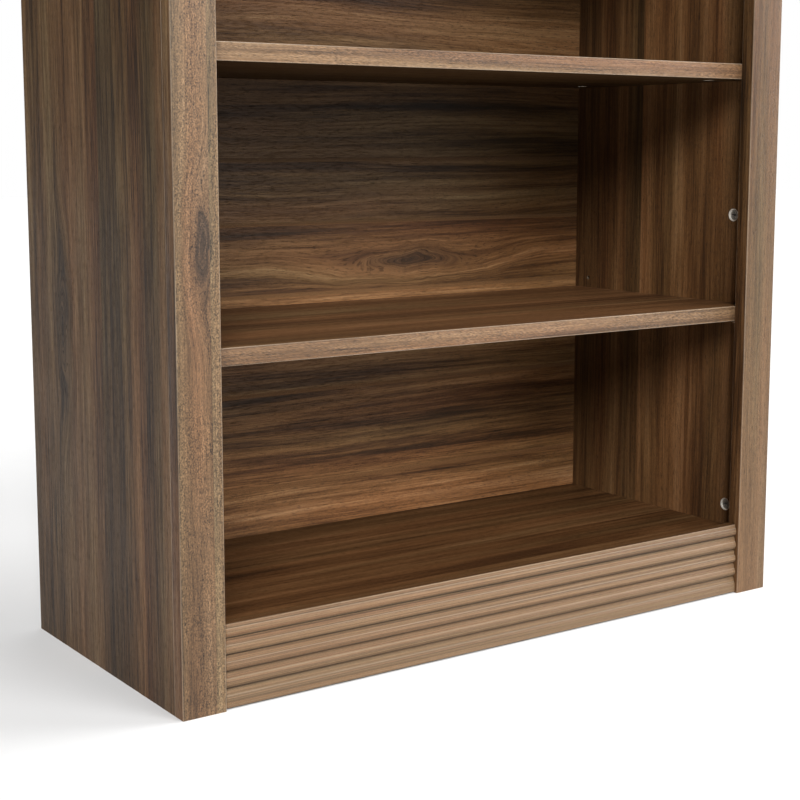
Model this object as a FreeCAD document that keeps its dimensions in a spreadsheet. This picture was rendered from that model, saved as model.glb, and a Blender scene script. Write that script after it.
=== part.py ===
import FreeCAD, Part
import math
import os
import Sketcher
from FreeCAD import Placement, Rotation, Vector

# A bookcase of laminated boards: two sides, a face frame of two stiles and two reeded rails,
# a bottom, a top and one fixed shelf held by cam fittings, a thin back, and two shelves that
# rest on support pins and can be lifted off them.
# Millimetres. +Z is up, the front looks along -Y, and the origin is on the floor at the
# centre of the footprint.

DIMENSIONS = {
    # the whole case
    "overall_width": 762,
    "overall_depth": 336,
    "overall_height": 1219,
    "side_board": 16,
    "shelf_board": 17,
    # the face frame
    "stile_width": 45,
    "stile_board": 16,
    "rail_height": 80,
    "rail_board": 14,
    "rail_setback": 2,
    "floor_gap": 1.5,
    "stile_rounding": 1,
    # one reed of a rail, measured from the deepest line of its groove
    "reed_pitch": 15.9,
    "groove_above_rail": 2.6,
    "groove_depth": 4,
    "groove_floor": 0.9,
    "quirk_depth": 2.4,
    "quirk_drop": 2.6,
    "fascia_depth": 1.8,
    "fascia_drop": 6.5,
    "ledge_depth": 1,
    "ledge_drop": 7.3,
    "crest_drop": 10.9,
    "return_depth": 1.3,
    "return_rise": 1.1,
    # heights of the upper faces
    "bottom_panel_top": 69,
    "lower_shelf_top": 335,
    "middle_shelf_top": 608,
    "upper_shelf_top": 874,
    # loose shelves and their edge bands
    "shelf_end_gap": 1,
    "shelf_front_gap": 0.5,
    "shelf_back_gap": 1,
    "band_board": 1,
    "band_rounding": 0.7,
    # the back panel and the slots that hold it
    "back_board": 3.2,
    "back_inset": 8.2,
    "slot_depth": 6,
    "slot_slack": 0.2,
    # cam fittings
    "cam_radius": 7.4,
    "cam_height": 12.2,
    "cam_sink": 0.3,
    "cam_hole_radius": 7.5,
    "cam_hole_depth": 12.8,
    "cam_rim_bevel": 0.4,
    "cam_face_bevel": 0.3,
    "cam_groove_outer": 1.3,
    "cam_groove_inner": 2.9,
    "cam_groove_depth": 0.5,
    "cam_groove_slope": 0.3,
    "cam_centre_sink": 0.1,
    "cam_channel_slack": 0.8,
    "cam_channel_start": 3,
    "cam_cross_length": 6,
    "cam_cross_width": 1.3,
    "cam_cross_depth": 2.2,
    "cam_arrow_length": 1.6,
    "cam_arrow_width": 0.8,
    "cam_arrow_inset": 1.9,
    "cam_arrow_depth": 0.6,
    "cam_inset": 34,
    "cam_line_inset": 46,
    "stile_cam_first": 93,
    "bolt_bore_radius": 4,
    "thread_hole_radius": 2.6,
    "thread_radius": 2.5,
    "thread_length": 10,
    "bolt_shaft_radius": 3.5,
    "bolt_neck_radius": 1.8,
    "bolt_head_radius": 3.1,
    "bolt_waist_radius": 2.7,
    "bolt_collar_length": 1.6,
    "bolt_collar_slope": 0.8,
    "bolt_neck_start": 28.5,
    "bolt_neck_end": 32,
    "bolt_head_end": 35,
    "bolt_bevel": 1,
    "bolt_head_bevel": 0.8,
    "thread_bevel": 0.8,
    "seat_lift": 0.1,
    # dowels
    "dowel_radius": 3.9,
    "dowel_hole_radius": 4,
    "dowel_in_board": 10,
    "dowel_in_panel": 15,
    "dowel_offset": 32,
    "rail_dowel_radius": 2.9,
    "rail_dowel_hole_radius": 3,
    "rail_dowel_half": 15,
    "rail_dowel_spread": 22,
    "rail_dowel_back": 4.6,
    "dowel_bevel": 1,
    # shelf support pins
    "pin_radius": 2.45,
    "pin_hole_radius": 2.5,
    "pin_in_board": 9,
    "pin_head_radius": 3.5,
    "pin_head_length": 8,
    "pin_flat_height": 2.5,
    "pin_bevel": 0.6,
    "pin_lift": 0.05,
    "pin_front_line": 38,
    "pin_rear_line": 300,
    "pin_pitch": 32,
    # screws of the back panel
    "screw_radius": 1.7,
    "screw_hole_radius": 1.8,
    "screw_length": 14,
    "screw_head_radius": 3.6,
    "screw_head_height": 2,
    "screw_head_rim": 1,
    "screw_crown_radius": 2.5,
    "screw_tip_radius": 0.5,
    "screw_tip_length": 3,
    "screw_spread": 240,
    # play left at the end of each blind hole, and how far a cutter stands out of its mouth
    "end_play": 0.8,
    "overrun": 1,
}

STILE_CAM_COUNT = 4
PIN_POSITIONS = (-1, 0, 1)
SIDES = (("left", -1), ("right", 1))
UP = Vector(0, 0, 1)

INNER_X = "(Dims.overall_width / 2 - Dims.side_board)"
BOARD_MID_X = "(Dims.overall_width / 2 - Dims.side_board / 2)"
OPENING_X = "(Dims.overall_width / 2 - Dims.stile_width)"
FRONT_Y = "(-Dims.overall_depth / 2)"
CASE_FRONT_Y = "(-Dims.overall_depth / 2 + Dims.stile_board)"
BANDED_FRONT_Y = f"({CASE_FRONT_Y} + Dims.shelf_front_gap + Dims.band_board)"
BACK_FACE_Y = "(Dims.overall_depth / 2 - Dims.back_inset - Dims.back_board)"
CAM_LINES = (
    f"({CASE_FRONT_Y} + Dims.cam_line_inset)",
    f"({BACK_FACE_Y} - Dims.cam_line_inset)",
)
DOWEL_LINES = (
    f"({CAM_LINES[0]} + Dims.dowel_offset)",
    f"({CAM_LINES[1]} - Dims.dowel_offset)",
)
PIN_LINES = {
    "front": f"({FRONT_Y} + Dims.pin_front_line)",
    "rear": f"({FRONT_Y} + Dims.pin_rear_line)",
}
STILE_CAM_Y = f"({CASE_FRONT_Y} + Dims.cam_inset)"
STILE_CAM_PITCH = f"((Dims.overall_height - 2 * Dims.stile_cam_first) / {STILE_CAM_COUNT - 1})"
RAIL_DOWEL_Y = f"({CASE_FRONT_Y} - Dims.rail_dowel_back)"
FIXED_TOPS = {
    "bottom_panel": "Dims.bottom_panel_top",
    "middle_shelf": "Dims.middle_shelf_top",
    "top_panel": "Dims.overall_height",
}
LOOSE_TOPS = {
    "lower_shelf": "Dims.lower_shelf_top",
    "upper_shelf": "Dims.upper_shelf_top",
}
RAIL_BOTTOMS = {
    "plinth_rail": "Dims.floor_gap",
    "top_rail": "(Dims.overall_height - Dims.rail_height)",
}

doc = FreeCAD.newDocument("bookcase")
sub_parts = []


def make_sheet():
    sheet = doc.addObject("Spreadsheet::Sheet", "Dims")
    for row, (alias, value) in enumerate(DIMENSIONS.items(), start=1):
        sheet.set(f"A{row}", alias)
        sheet.set(f"B{row}", str(value))
        sheet.setAlias(f"B{row}", alias)
    doc.recompute()
    return sheet


dims = make_sheet()


def number(expression):
    """The value of an expression in the sheet's dimensions."""
    return float(dims.evalExpression(expression))


def keep(shape_object, label):
    """Count an object as a finished sub-part with its own label."""
    shape_object.Label = label
    sub_parts.append(shape_object)
    return shape_object


def signed(side, expression):
    return f"({side} * {expression})"


def place(shape_object, corner):
    for axis, expression in zip("xyz", corner):
        shape_object.setExpression(f"Placement.Base.{axis}", expression)


# ---------------------------------------------------------------- boards and their holes

def box(name, size, corner):
    solid = doc.addObject("Part::Box", name)
    for measure, expression in zip(("Length", "Width", "Height"), size):
        solid.setExpression(measure, expression)
    place(solid, corner)
    return solid


def bore(radius, depth, mouth, direction):
    """A cutter for a round hole that runs from its mouth along one of the axes."""
    cutter = doc.addObject("Part::Cylinder", "bore")
    cutter.setExpression("Radius", radius)
    cutter.setExpression("Height", f"{depth} + Dims.overrun")
    cutter.Placement = Placement(Vector(), Rotation(UP, Vector(*direction)))
    start = [f"{at} - ({step}) * Dims.overrun" for at, step in zip(mouth, direction)]
    place(cutter, start)
    return cutter


def drilled(label, blank, cutters):
    drilling = doc.addObject("Part::MultiFuse", f"{label}_drilling")
    drilling.Shapes = cutters
    board = doc.addObject("Part::Cut", label)
    board.Base = blank
    board.Tool = drilling
    return keep(board, label)


def mid_height(top):
    return f"({top} - Dims.shelf_board / 2)"


def stile_cam_height(index):
    return f"(Dims.stile_cam_first + {index} * {STILE_CAM_PITCH})"


def stile_dowel_height(index):
    return f"(Dims.stile_cam_first + {index + 0.5} * {STILE_CAM_PITCH})"


def pin_height(top, position):
    rest = f"({top} - Dims.shelf_board - Dims.slot_slack - Dims.pin_flat_height)"
    return f"({rest} + {position} * Dims.pin_pitch)"


def side_panel_cutters(name, side):
    """Every hole of a side panel: inner face first, then front edge."""
    into_face = (side, 0, 0)
    into_edge = (0, 1, 0)
    face_x = signed(side, INNER_X)
    edge_x = signed(side, BOARD_MID_X)
    cutters = []
    for index in range(STILE_CAM_COUNT):
        cam_mouth = (face_x, STILE_CAM_Y, stile_cam_height(index))
        bolt_mouth = (edge_x, CASE_FRONT_Y, stile_cam_height(index))
        cutters.append(bore("Dims.cam_hole_radius", "Dims.cam_hole_depth", cam_mouth, into_face))
        cutters.append(bore("Dims.bolt_bore_radius", "Dims.cam_inset", bolt_mouth, into_edge))
    for index in range(STILE_CAM_COUNT - 1):
        mouth = (edge_x, CASE_FRONT_Y, stile_dowel_height(index))
        depth = "(Dims.dowel_in_panel + Dims.end_play)"
        cutters.append(bore("Dims.dowel_hole_radius", depth, mouth, into_edge))
    for top in FIXED_TOPS.values():
        for line in CAM_LINES:
            depth = "(Dims.thread_length + Dims.end_play)"
            mouth = (face_x, line, mid_height(top))
            cutters.append(bore("Dims.thread_hole_radius", depth, mouth, into_face))
        for line in DOWEL_LINES:
            depth = "(Dims.dowel_in_board + Dims.end_play)"
            mouth = (face_x, line, mid_height(top))
            cutters.append(bore("Dims.dowel_hole_radius", depth, mouth, into_face))
    for top in LOOSE_TOPS.values():
        for line in PIN_LINES.values():
            for position in PIN_POSITIONS:
                depth = "(Dims.pin_in_board + Dims.end_play)"
                mouth = (face_x, line, pin_height(top, position))
                cutters.append(bore("Dims.pin_hole_radius", depth, mouth, into_face))
    slot_start = "Dims.overall_width / 2 - Dims.side_board - Dims.overrun"
    slot_end = "Dims.overall_width / 2 - Dims.side_board + Dims.slot_depth"
    slot_size = (
        "Dims.slot_depth + Dims.overrun",
        "Dims.back_board + 2 * Dims.slot_slack",
        "Dims.overall_height + 2 * Dims.overrun",
    )
    slot_x = slot_start if side > 0 else f"-({slot_end})"
    slot_corner = (slot_x, f"{BACK_FACE_Y} - Dims.slot_slack", "-Dims.overrun")
    cutters.append(box(f"{name}_slot", slot_size, slot_corner))
    return cutters


def make_side_panels():
    size = ("Dims.side_board", "Dims.overall_depth - Dims.stile_board", "Dims.overall_height")
    for side_name, side in SIDES:
        name = f"{side_name}_side_panel"
        corner_x = INNER_X if side > 0 else "-Dims.overall_width / 2"
        blank = box(f"{name}_blank", size, (corner_x, CASE_FRONT_Y, "0"))
        drilled(name, blank, side_panel_cutters(name, side))


def fixed_panel_cutters(top):
    """Cam holes in the underside, bolt and dowel bores in the ends, screw holes in the rear edge."""
    cutters = []
    middle = mid_height(top)
    for _, side in SIDES:
        inwards = (-side, 0, 0)
        end_x = signed(side, INNER_X)
        cam_x = signed(side, f"({INNER_X} - Dims.cam_inset)")
        for line in CAM_LINES:
            under = (cam_x, line, f"{top} - Dims.shelf_board")
            cutters.append(bore("Dims.cam_hole_radius", "Dims.cam_hole_depth", under, (0, 0, 1)))
            cutters.append(bore("Dims.bolt_bore_radius", "Dims.cam_inset", (end_x, line, middle), inwards))
        for line in DOWEL_LINES:
            depth = "(Dims.dowel_in_panel + Dims.end_play)"
            cutters.append(bore("Dims.dowel_hole_radius", depth, (end_x, line, middle), inwards))
    for step in (-1, 0, 1):
        mouth = (f"({step} * Dims.screw_spread)", BACK_FACE_Y, middle)
        depth = "(Dims.screw_length - Dims.back_board + Dims.end_play)"
        cutters.append(bore("Dims.screw_hole_radius", depth, mouth, (0, -1, 0)))
    return cutters


def make_fixed_panels():
    for name, top in FIXED_TOPS.items():
        front = BANDED_FRONT_Y if name == "middle_shelf" else CASE_FRONT_Y
        size = (f"2 * {INNER_X}", f"{BACK_FACE_Y} - {front}", "Dims.shelf_board")
        corner = (f"-{INNER_X}", front, f"{top} - Dims.shelf_board")
        blank = box(f"{name}_blank", size, corner)
        drilled(name, blank, fixed_panel_cutters(top))


def make_loose_shelves():
    half_length = f"({INNER_X} - Dims.shelf_end_gap)"
    depth = f"{BACK_FACE_Y} - Dims.shelf_back_gap - {BANDED_FRONT_Y}"
    size = (f"2 * {half_length}", depth, "Dims.shelf_board")
    for name, top in LOOSE_TOPS.items():
        corner = (f"-{half_length}", BANDED_FRONT_Y, f"{top} - Dims.shelf_board")
        keep(box(name, size, corner), name)


def make_back_panel():
    low = "(Dims.bottom_panel_top - Dims.shelf_board)"
    half_width = f"({INNER_X} + Dims.slot_depth - Dims.slot_slack)"
    size = (f"2 * {half_width}", "Dims.back_board", f"Dims.overall_height - {low}")
    blank = box("back_panel_blank", size, (f"-{half_width}", BACK_FACE_Y, low))
    cutters = []
    for top in FIXED_TOPS.values():
        for step in (-1, 0, 1):
            mouth = (f"({step} * Dims.screw_spread)", BACK_FACE_Y, mid_height(top))
            depth = "(Dims.back_board + Dims.overrun)"
            cutters.append(bore("Dims.screw_hole_radius", depth, mouth, (0, 1, 0)))
    drilled("back_panel", blank, cutters)


# ---------------------------------------------------------------- sketched pieces

def origin_plane(body, role):
    return next(plane for plane in body.Origin.OriginFeatures if plane.Role == role)


def new_body(name):
    return doc.addObject("PartDesign::Body", name)


def flat_sketch(body, name, role):
    sketch = body.newObject("Sketcher::SketchObject", name)
    sketch.AttachmentSupport = [(origin_plane(body, role), "")]
    sketch.MapMode = "FlatFace"
    return sketch


def fix_point(sketch, geometry, end, point):
    """Hold one end of a sketch line at an (x, y) pair of expressions."""
    across, along = point
    at_x = number(across)
    at_y = number(along)
    if at_x == 0:
        sketch.addConstraint(Sketcher.Constraint("PointOnObject", geometry, end, -2))
    else:
        index = sketch.addConstraint(Sketcher.Constraint("DistanceX", -1, 1, geometry, end, at_x))
        sketch.setExpression(f"Constraints[{index}]", across)
    if at_y == 0:
        sketch.addConstraint(Sketcher.Constraint("PointOnObject", geometry, end, -1))
    else:
        index = sketch.addConstraint(Sketcher.Constraint("DistanceY", -1, 1, geometry, end, at_y))
        sketch.setExpression(f"Constraints[{index}]", along)


def closed_outline(sketch, points):
    """Straight lines round a list of (x, y) expression pairs, each corner held in place."""
    corners = [Vector(number(across), number(along), 0) for across, along in points]
    count = len(corners)
    for index in range(count):
        sketch.addGeometry(Part.LineSegment(corners[index], corners[(index + 1) % count]), False)
    for index in range(count):
        sketch.addConstraint(Sketcher.Constraint("Coincident", index, 2, (index + 1) % count, 1))
        fix_point(sketch, index, 1, points[index])


def rectangle(sketch, across, along):
    closed_outline(sketch, [("0", "0"), (across, "0"), (across, along), ("0", along)])


def padded_bar(name, role, across, along, length):
    """A straight bar: a rectangle on one of the body's own planes, padded to a length."""
    body = new_body(name)
    sketch = flat_sketch(body, f"{name}_section", role)
    rectangle(sketch, across, along)
    pad = body.newObject("PartDesign::Pad", f"{name}_pad")
    pad.Profile = sketch
    pad.setExpression("Length", length)
    doc.recompute()
    return body, pad


def round_front_edges(body, pad, length, radius):
    """Ease the two long edges of a bar's front face, which lies on its local y = 0."""
    wanted = []
    for index, edge in enumerate(pad.Shape.Edges, start=1):
        on_front = abs(edge.BoundBox.YMin) < 1e-6 and abs(edge.BoundBox.YMax) < 1e-6
        if on_front and abs(edge.Length - number(length)) < 1e-6:
            wanted.append(f"Edge{index}")
    fillet = body.newObject("PartDesign::Fillet", f"{body.Name}_rounding")
    fillet.Base = (pad, wanted)
    fillet.setExpression("Radius", radius)


def make_stiles():
    length = "Dims.overall_height"
    for side_name, side in SIDES:
        name = f"{side_name}_stile"
        section = ("Dims.stile_width", "Dims.stile_board")
        blank, pad = padded_bar(f"{name}_blank", "XY_Plane", *section, length)
        round_front_edges(blank, pad, length, "Dims.stile_rounding")
        corner_x = OPENING_X if side > 0 else "-Dims.overall_width / 2"
        place(blank, (corner_x, FRONT_Y, "0"))
        drilled(name, blank, stile_cutters(side))


def stile_cutters(side):
    board_x = signed(side, BOARD_MID_X)
    forwards = (0, -1, 0)
    cutters = []
    for index in range(STILE_CAM_COUNT):
        depth = "(Dims.thread_length + Dims.end_play)"
        mouth = (board_x, CASE_FRONT_Y, stile_cam_height(index))
        cutters.append(bore("Dims.thread_hole_radius", depth, mouth, forwards))
    for index in range(STILE_CAM_COUNT - 1):
        depth = "(Dims.dowel_in_board + Dims.end_play)"
        mouth = (board_x, CASE_FRONT_Y, stile_dowel_height(index))
        cutters.append(bore("Dims.dowel_hole_radius", depth, mouth, forwards))
    for low in RAIL_BOTTOMS.values():
        for step in (-1, 1):
            mouth = (signed(side, OPENING_X), RAIL_DOWEL_Y, rail_dowel_height(low, step))
            depth = "(Dims.rail_dowel_half + Dims.end_play)"
            cutters.append(bore("Dims.rail_dowel_hole_radius", depth, mouth, (side, 0, 0)))
    return cutters


def rail_dowel_height(low, step):
    return f"({low} + Dims.rail_height / 2 + {step} * Dims.rail_dowel_spread)"


def crown_radius(depth, rise):
    """The arc that is upright at a reed's crest and falls back by depth over a height of rise."""
    return f"(({rise}) ^ 2 + ({depth}) ^ 2) / (2 * {depth})"


def crown_arc(sketch, depth, rise, crest, direction):
    """Half of a reed's crown, from the crest (above or below the groove) towards the groove."""
    radius = number(crown_radius(depth, rise))
    sweep = math.asin(number(rise) / radius)
    centre = Vector(radius, number(crest), 0)
    half = Vector(-math.cos(sweep / 2), direction * math.sin(sweep / 2), 0)
    end = Vector(-math.cos(sweep), direction * math.sin(sweep), 0)
    start_point = centre + Vector(-radius, 0, 0)
    arc = Part.Arc(start_point, centre + half * radius, centre + end * radius)
    geometry = sketch.addGeometry(arc, False)
    index = sketch.addConstraint(Sketcher.Constraint("Radius", geometry, radius))
    sketch.setExpression(f"Constraints[{index}]", crown_radius(depth, rise))
    starts_at_crest = sketch.getPoint(geometry, 1).distanceToPoint(start_point) < 1e-6
    return geometry, (1, 2) if starts_at_crest else (2, 1)


def groove_outline(sketch, groove_height):
    """What is cut away between the crests of two reeds.

    Sketch x runs into the rail from the crest plane and sketch y runs up. From the upper
    reed's crest the outline rounds back to the groove, then steps out over a narrow quirk,
    an upright fascia and a small ledge to the lower reed's crest.
    """
    def at(depth, drop):
        return (depth, f"({groove_height} - ({drop}))")

    upper_crest = at("0", "Dims.crest_drop - Dims.reed_pitch")
    lower_crest = at("0", "Dims.crest_drop")
    steps = [
        at("Dims.return_depth", "-Dims.return_rise"),
        at("Dims.groove_depth", "0"),
        at("Dims.groove_depth", "Dims.groove_floor"),
        at("Dims.quirk_depth", "Dims.quirk_drop"),
        at("Dims.fascia_depth", "Dims.fascia_drop"),
        at("Dims.ledge_depth", "Dims.ledge_drop"),
    ]
    outside = [
        lower_crest,
        ("-Dims.overrun", lower_crest[1]),
        ("-Dims.overrun", upper_crest[1]),
        upper_crest,
    ]
    chains = []
    for chain in (steps, outside):
        points = [Vector(number(across), number(along), 0) for across, along in chain]
        lines = [
            sketch.addGeometry(Part.LineSegment(first, second), False)
            for first, second in zip(points, points[1:])
        ]
        for line, point in zip(lines, chain):
            fix_point(sketch, line, 1, point)
        fix_point(sketch, lines[-1], 2, chain[-1])
        for first, second in zip(lines, lines[1:]):
            sketch.addConstraint(Sketcher.Constraint("Coincident", first, 2, second, 1))
        chains.append(lines)
    inner_lines, outer_lines = chains
    upper_rise = "(Dims.reed_pitch - Dims.crest_drop - Dims.return_rise)"
    lower_rise = "(Dims.crest_drop - Dims.ledge_drop)"
    upper, upper_ends = crown_arc(sketch, "Dims.return_depth", upper_rise, upper_crest[1], -1)
    lower, lower_ends = crown_arc(sketch, "Dims.ledge_depth", lower_rise, lower_crest[1], 1)
    sketch.addConstraint(Sketcher.Constraint("Coincident", upper, upper_ends[0], outer_lines[-1], 2))
    sketch.addConstraint(Sketcher.Constraint("Coincident", upper, upper_ends[1], inner_lines[0], 1))
    sketch.addConstraint(Sketcher.Constraint("Coincident", lower, lower_ends[0], outer_lines[0], 1))
    sketch.addConstraint(Sketcher.Constraint("Coincident", lower, lower_ends[1], inner_lines[-1], 2))


def make_rails():
    """Boards with a row of reeds cut along their front; the ends are drilled for dowels."""
    length = f"2 * {OPENING_X}"
    groove_top = "(Dims.rail_height + Dims.groove_above_rail)"
    groove_count = math.ceil(number(f"({groove_top} - Dims.crest_drop) / Dims.reed_pitch"))
    for name, low in RAIL_BOTTOMS.items():
        section = ("Dims.rail_board", "Dims.rail_height")
        blank, pad = padded_bar(f"{name}_blank", "YZ_Plane", *section, length)
        sketch = flat_sketch(blank, f"{name}_groove", "YZ_Plane")
        groove_outline(sketch, groove_top)
        doc.recompute()
        pocket = blank.newObject("PartDesign::Pocket", f"{name}_pocket")
        pocket.Profile = sketch
        pocket.Type = "ThroughAll"
        pocket.Reversed = True
        doc.recompute()
        check_removed(pad, pocket, name)
        pattern = blank.newObject("PartDesign::LinearPattern", f"{name}_reeds")
        pattern.Originals = [pocket]
        pattern.Direction = (sketch, ["V_Axis"])
        pattern.Reversed = True
        pattern.setExpression("Length", f"{groove_count - 1} * Dims.reed_pitch")
        pattern.Occurrences = groove_count
        blank.Tip = pattern
        doc.recompute()
        check_removed(pocket, pattern, name)
        place(blank, (f"-{OPENING_X}", f"{FRONT_Y} + Dims.rail_setback", low))
        cutters = []
        for _, side in SIDES:
            for step in (-1, 1):
                mouth = (signed(side, OPENING_X), RAIL_DOWEL_Y, rail_dowel_height(low, step))
                depth = "(Dims.rail_dowel_half + Dims.end_play)"
                cutters.append(bore("Dims.rail_dowel_hole_radius", depth, mouth, (-side, 0, 0)))
        drilled(name, blank, cutters)


def check_removed(before, after, name):
    if after.Shape.Volume > before.Shape.Volume - 1:
        raise RuntimeError(f"{name}: {after.Name} removed nothing")


def make_edge_bands():
    """The strip glued to the front edge of each visible shelf."""
    for name, top in {**LOOSE_TOPS, "middle_shelf": FIXED_TOPS["middle_shelf"]}.items():
        end_gap = "0" if name == "middle_shelf" else "Dims.shelf_end_gap"
        half_length = f"({INNER_X} - {end_gap})"
        length = f"2 * {half_length}"
        band_name = f"{name}_edge_band"
        section = ("Dims.band_board", "Dims.shelf_board")
        band, pad = padded_bar(band_name, "YZ_Plane", *section, length)
        round_front_edges(band, pad, length, "Dims.band_rounding")
        front = f"{CASE_FRONT_Y} + Dims.shelf_front_gap"
        place(band, (f"-{half_length}", front, f"{top} - Dims.shelf_board"))
        keep(band, band_name)


# ---------------------------------------------------------------- turned hardware

def turned(name, stations):
    """A piece turned about its own Z axis from (radius, height) expression pairs."""
    body = new_body(name)
    sketch = flat_sketch(body, f"{name}_profile", "XZ_Plane")
    closed_outline(sketch, [("0", stations[0][1]), *stations, ("0", stations[-1][1])])
    revolution = body.newObject("PartDesign::Revolution", f"{name}_turning")
    revolution.Profile = sketch
    revolution.ReferenceAxis = (sketch, ["V_Axis"])
    revolution.Angle = 360
    doc.recompute()
    return body


def make_bolt_piece():
    """Cam bolt: threaded below z = 0, shaft, neck and head above it."""
    return turned("cam_bolt_piece", [
        ("Dims.thread_radius - Dims.thread_bevel", "-Dims.thread_length"),
        ("Dims.thread_radius", "-Dims.thread_length + Dims.bolt_bevel"),
        ("Dims.thread_radius", "Dims.seat_lift"),
        ("Dims.bolt_shaft_radius", "Dims.seat_lift"),
        ("Dims.bolt_shaft_radius", "Dims.bolt_collar_length"),
        ("Dims.bolt_waist_radius", "Dims.bolt_collar_length + Dims.bolt_collar_slope"),
        ("Dims.bolt_waist_radius", "Dims.bolt_neck_start - Dims.bolt_bevel"),
        ("Dims.bolt_neck_radius", "Dims.bolt_neck_start"),
        ("Dims.bolt_neck_radius", "Dims.bolt_neck_end"),
        ("Dims.bolt_head_radius", "Dims.bolt_neck_end + Dims.bolt_bevel"),
        ("Dims.bolt_head_radius", "Dims.bolt_head_end - Dims.bolt_head_bevel"),
        ("Dims.bolt_neck_radius", "Dims.bolt_head_end"),
    ])


def make_dowel_piece(name, radius, below, above):
    """Dowel with bevelled ends; z = 0 is the joint between the two boards."""
    return turned(name, [
        (f"{radius} - Dims.dowel_bevel", f"-{below}"),
        (radius, f"-{below} + Dims.dowel_bevel"),
        (radius, f"{above} - Dims.dowel_bevel"),
        (f"{radius} - Dims.dowel_bevel", above),
    ])


def make_screw_piece():
    """Pan-head screw: the head sits on z = 0 and the shank points down."""
    return turned("screw_piece", [
        ("Dims.screw_tip_radius", "-Dims.screw_length"),
        ("Dims.screw_radius", "-Dims.screw_length + Dims.screw_tip_length"),
        ("Dims.screw_radius", "0"),
        ("Dims.screw_head_radius", "0"),
        ("Dims.screw_head_radius", "Dims.screw_head_height - Dims.screw_head_rim"),
        ("Dims.screw_crown_radius", "Dims.screw_head_height"),
    ])


def make_pin_piece():
    """Support pin along Z: peg below z = 0, head above it with a flat that faces local +X."""
    blank = turned("pin_blank", [
        ("Dims.pin_radius - Dims.pin_bevel", "-Dims.pin_in_board"),
        ("Dims.pin_radius", "-Dims.pin_in_board + Dims.pin_bevel"),
        ("Dims.pin_radius", "Dims.pin_lift"),
        ("Dims.pin_head_radius", "Dims.pin_lift"),
        ("Dims.pin_head_radius", "Dims.pin_head_length - Dims.pin_bevel"),
        ("Dims.pin_head_radius - Dims.pin_bevel", "Dims.pin_head_length"),
    ])
    waste_size = ("Dims.pin_head_radius", "4 * Dims.pin_head_radius", "2 * Dims.pin_head_length")
    waste = box("pin_waste", waste_size, ("Dims.pin_flat_height", "-2 * Dims.pin_head_radius", "0"))
    pin = doc.addObject("Part::Cut", "pin_piece")
    pin.Base = blank
    pin.Tool = waste
    return pin


def make_cam_piece():
    """Cam disc: its face is local z = 0, its bolt channel opens towards local +X."""
    groove_floor = "-Dims.cam_groove_depth"
    groove_inner = "(Dims.cam_radius - Dims.cam_groove_inner)"
    disc = turned("cam_disc", [
        ("Dims.cam_radius - Dims.cam_rim_bevel", "-Dims.cam_height"),
        ("Dims.cam_radius", "-Dims.cam_height + Dims.cam_rim_bevel"),
        ("Dims.cam_radius", "-Dims.cam_face_bevel"),
        ("Dims.cam_radius - Dims.cam_face_bevel", "0"),
        ("Dims.cam_radius - Dims.cam_groove_outer", "0"),
        ("Dims.cam_radius - Dims.cam_groove_outer - Dims.cam_groove_slope", groove_floor),
        (f"{groove_inner} + Dims.cam_groove_slope", groove_floor),
        (groove_inner, "-Dims.cam_centre_sink"),
    ])
    channel = doc.addObject("Part::Cylinder", "cam_channel")
    channel.setExpression("Radius", "Dims.bolt_head_radius + Dims.cam_channel_slack")
    channel.setExpression("Height", "Dims.cam_radius + Dims.cam_channel_start + Dims.overrun")
    channel.Placement = Placement(Vector(), Rotation(UP, Vector(1, 0, 0)))
    place(channel, ("-Dims.cam_channel_start", "0", "-Dims.side_board / 2"))
    half_length = "Dims.cam_cross_length / 2"
    half_width = "Dims.cam_cross_width / 2"
    cross_height = "Dims.cam_cross_depth + Dims.overrun"
    arrow_size = ("Dims.cam_arrow_length", "Dims.cam_arrow_width", "Dims.cam_arrow_depth + Dims.overrun")
    arrow_corner = (
        "Dims.cam_radius - Dims.cam_arrow_inset",
        "-Dims.cam_arrow_width / 2",
        "-Dims.cam_arrow_depth",
    )
    cross = [
        box(
            "cam_cross_long",
            ("Dims.cam_cross_length", "Dims.cam_cross_width", cross_height),
            (f"-{half_length}", f"-{half_width}", "-Dims.cam_cross_depth"),
        ),
        box(
            "cam_cross_short",
            ("Dims.cam_cross_width", "Dims.cam_cross_length", cross_height),
            (f"-{half_width}", f"-{half_length}", "-Dims.cam_cross_depth"),
        ),
        box("cam_arrow", arrow_size, arrow_corner),
    ]
    cutters = doc.addObject("Part::MultiFuse", "cam_cutters")
    cutters.Shapes = [channel, *cross]
    cam = doc.addObject("Part::Cut", "cam_piece")
    cam.Base = disc
    cam.Tool = cutters
    return cam


def aimed(position, z_axis, x_axis):
    """A placement at an expression triple, with the local Z and X axes turned to these."""
    z_direction = Vector(*z_axis)
    x_direction = Vector(*x_axis)
    turn = Rotation(x_direction, z_direction.cross(x_direction), z_direction, "ZXY")
    return Placement(Vector(*(number(item) for item in position)), turn)


def fastener_group(label, piece, placements):
    """One node of identical fasteners: separate solids, copied from one piece."""
    copies = []
    for placement in placements:
        copy = piece.Shape.copy()
        copy.Placement = placement
        copies.append(copy)
    group = doc.addObject("Part::Feature", label)
    group.Shape = copies[0] if len(copies) == 1 else Part.makeCompound(copies)
    return keep(group, label)


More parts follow.
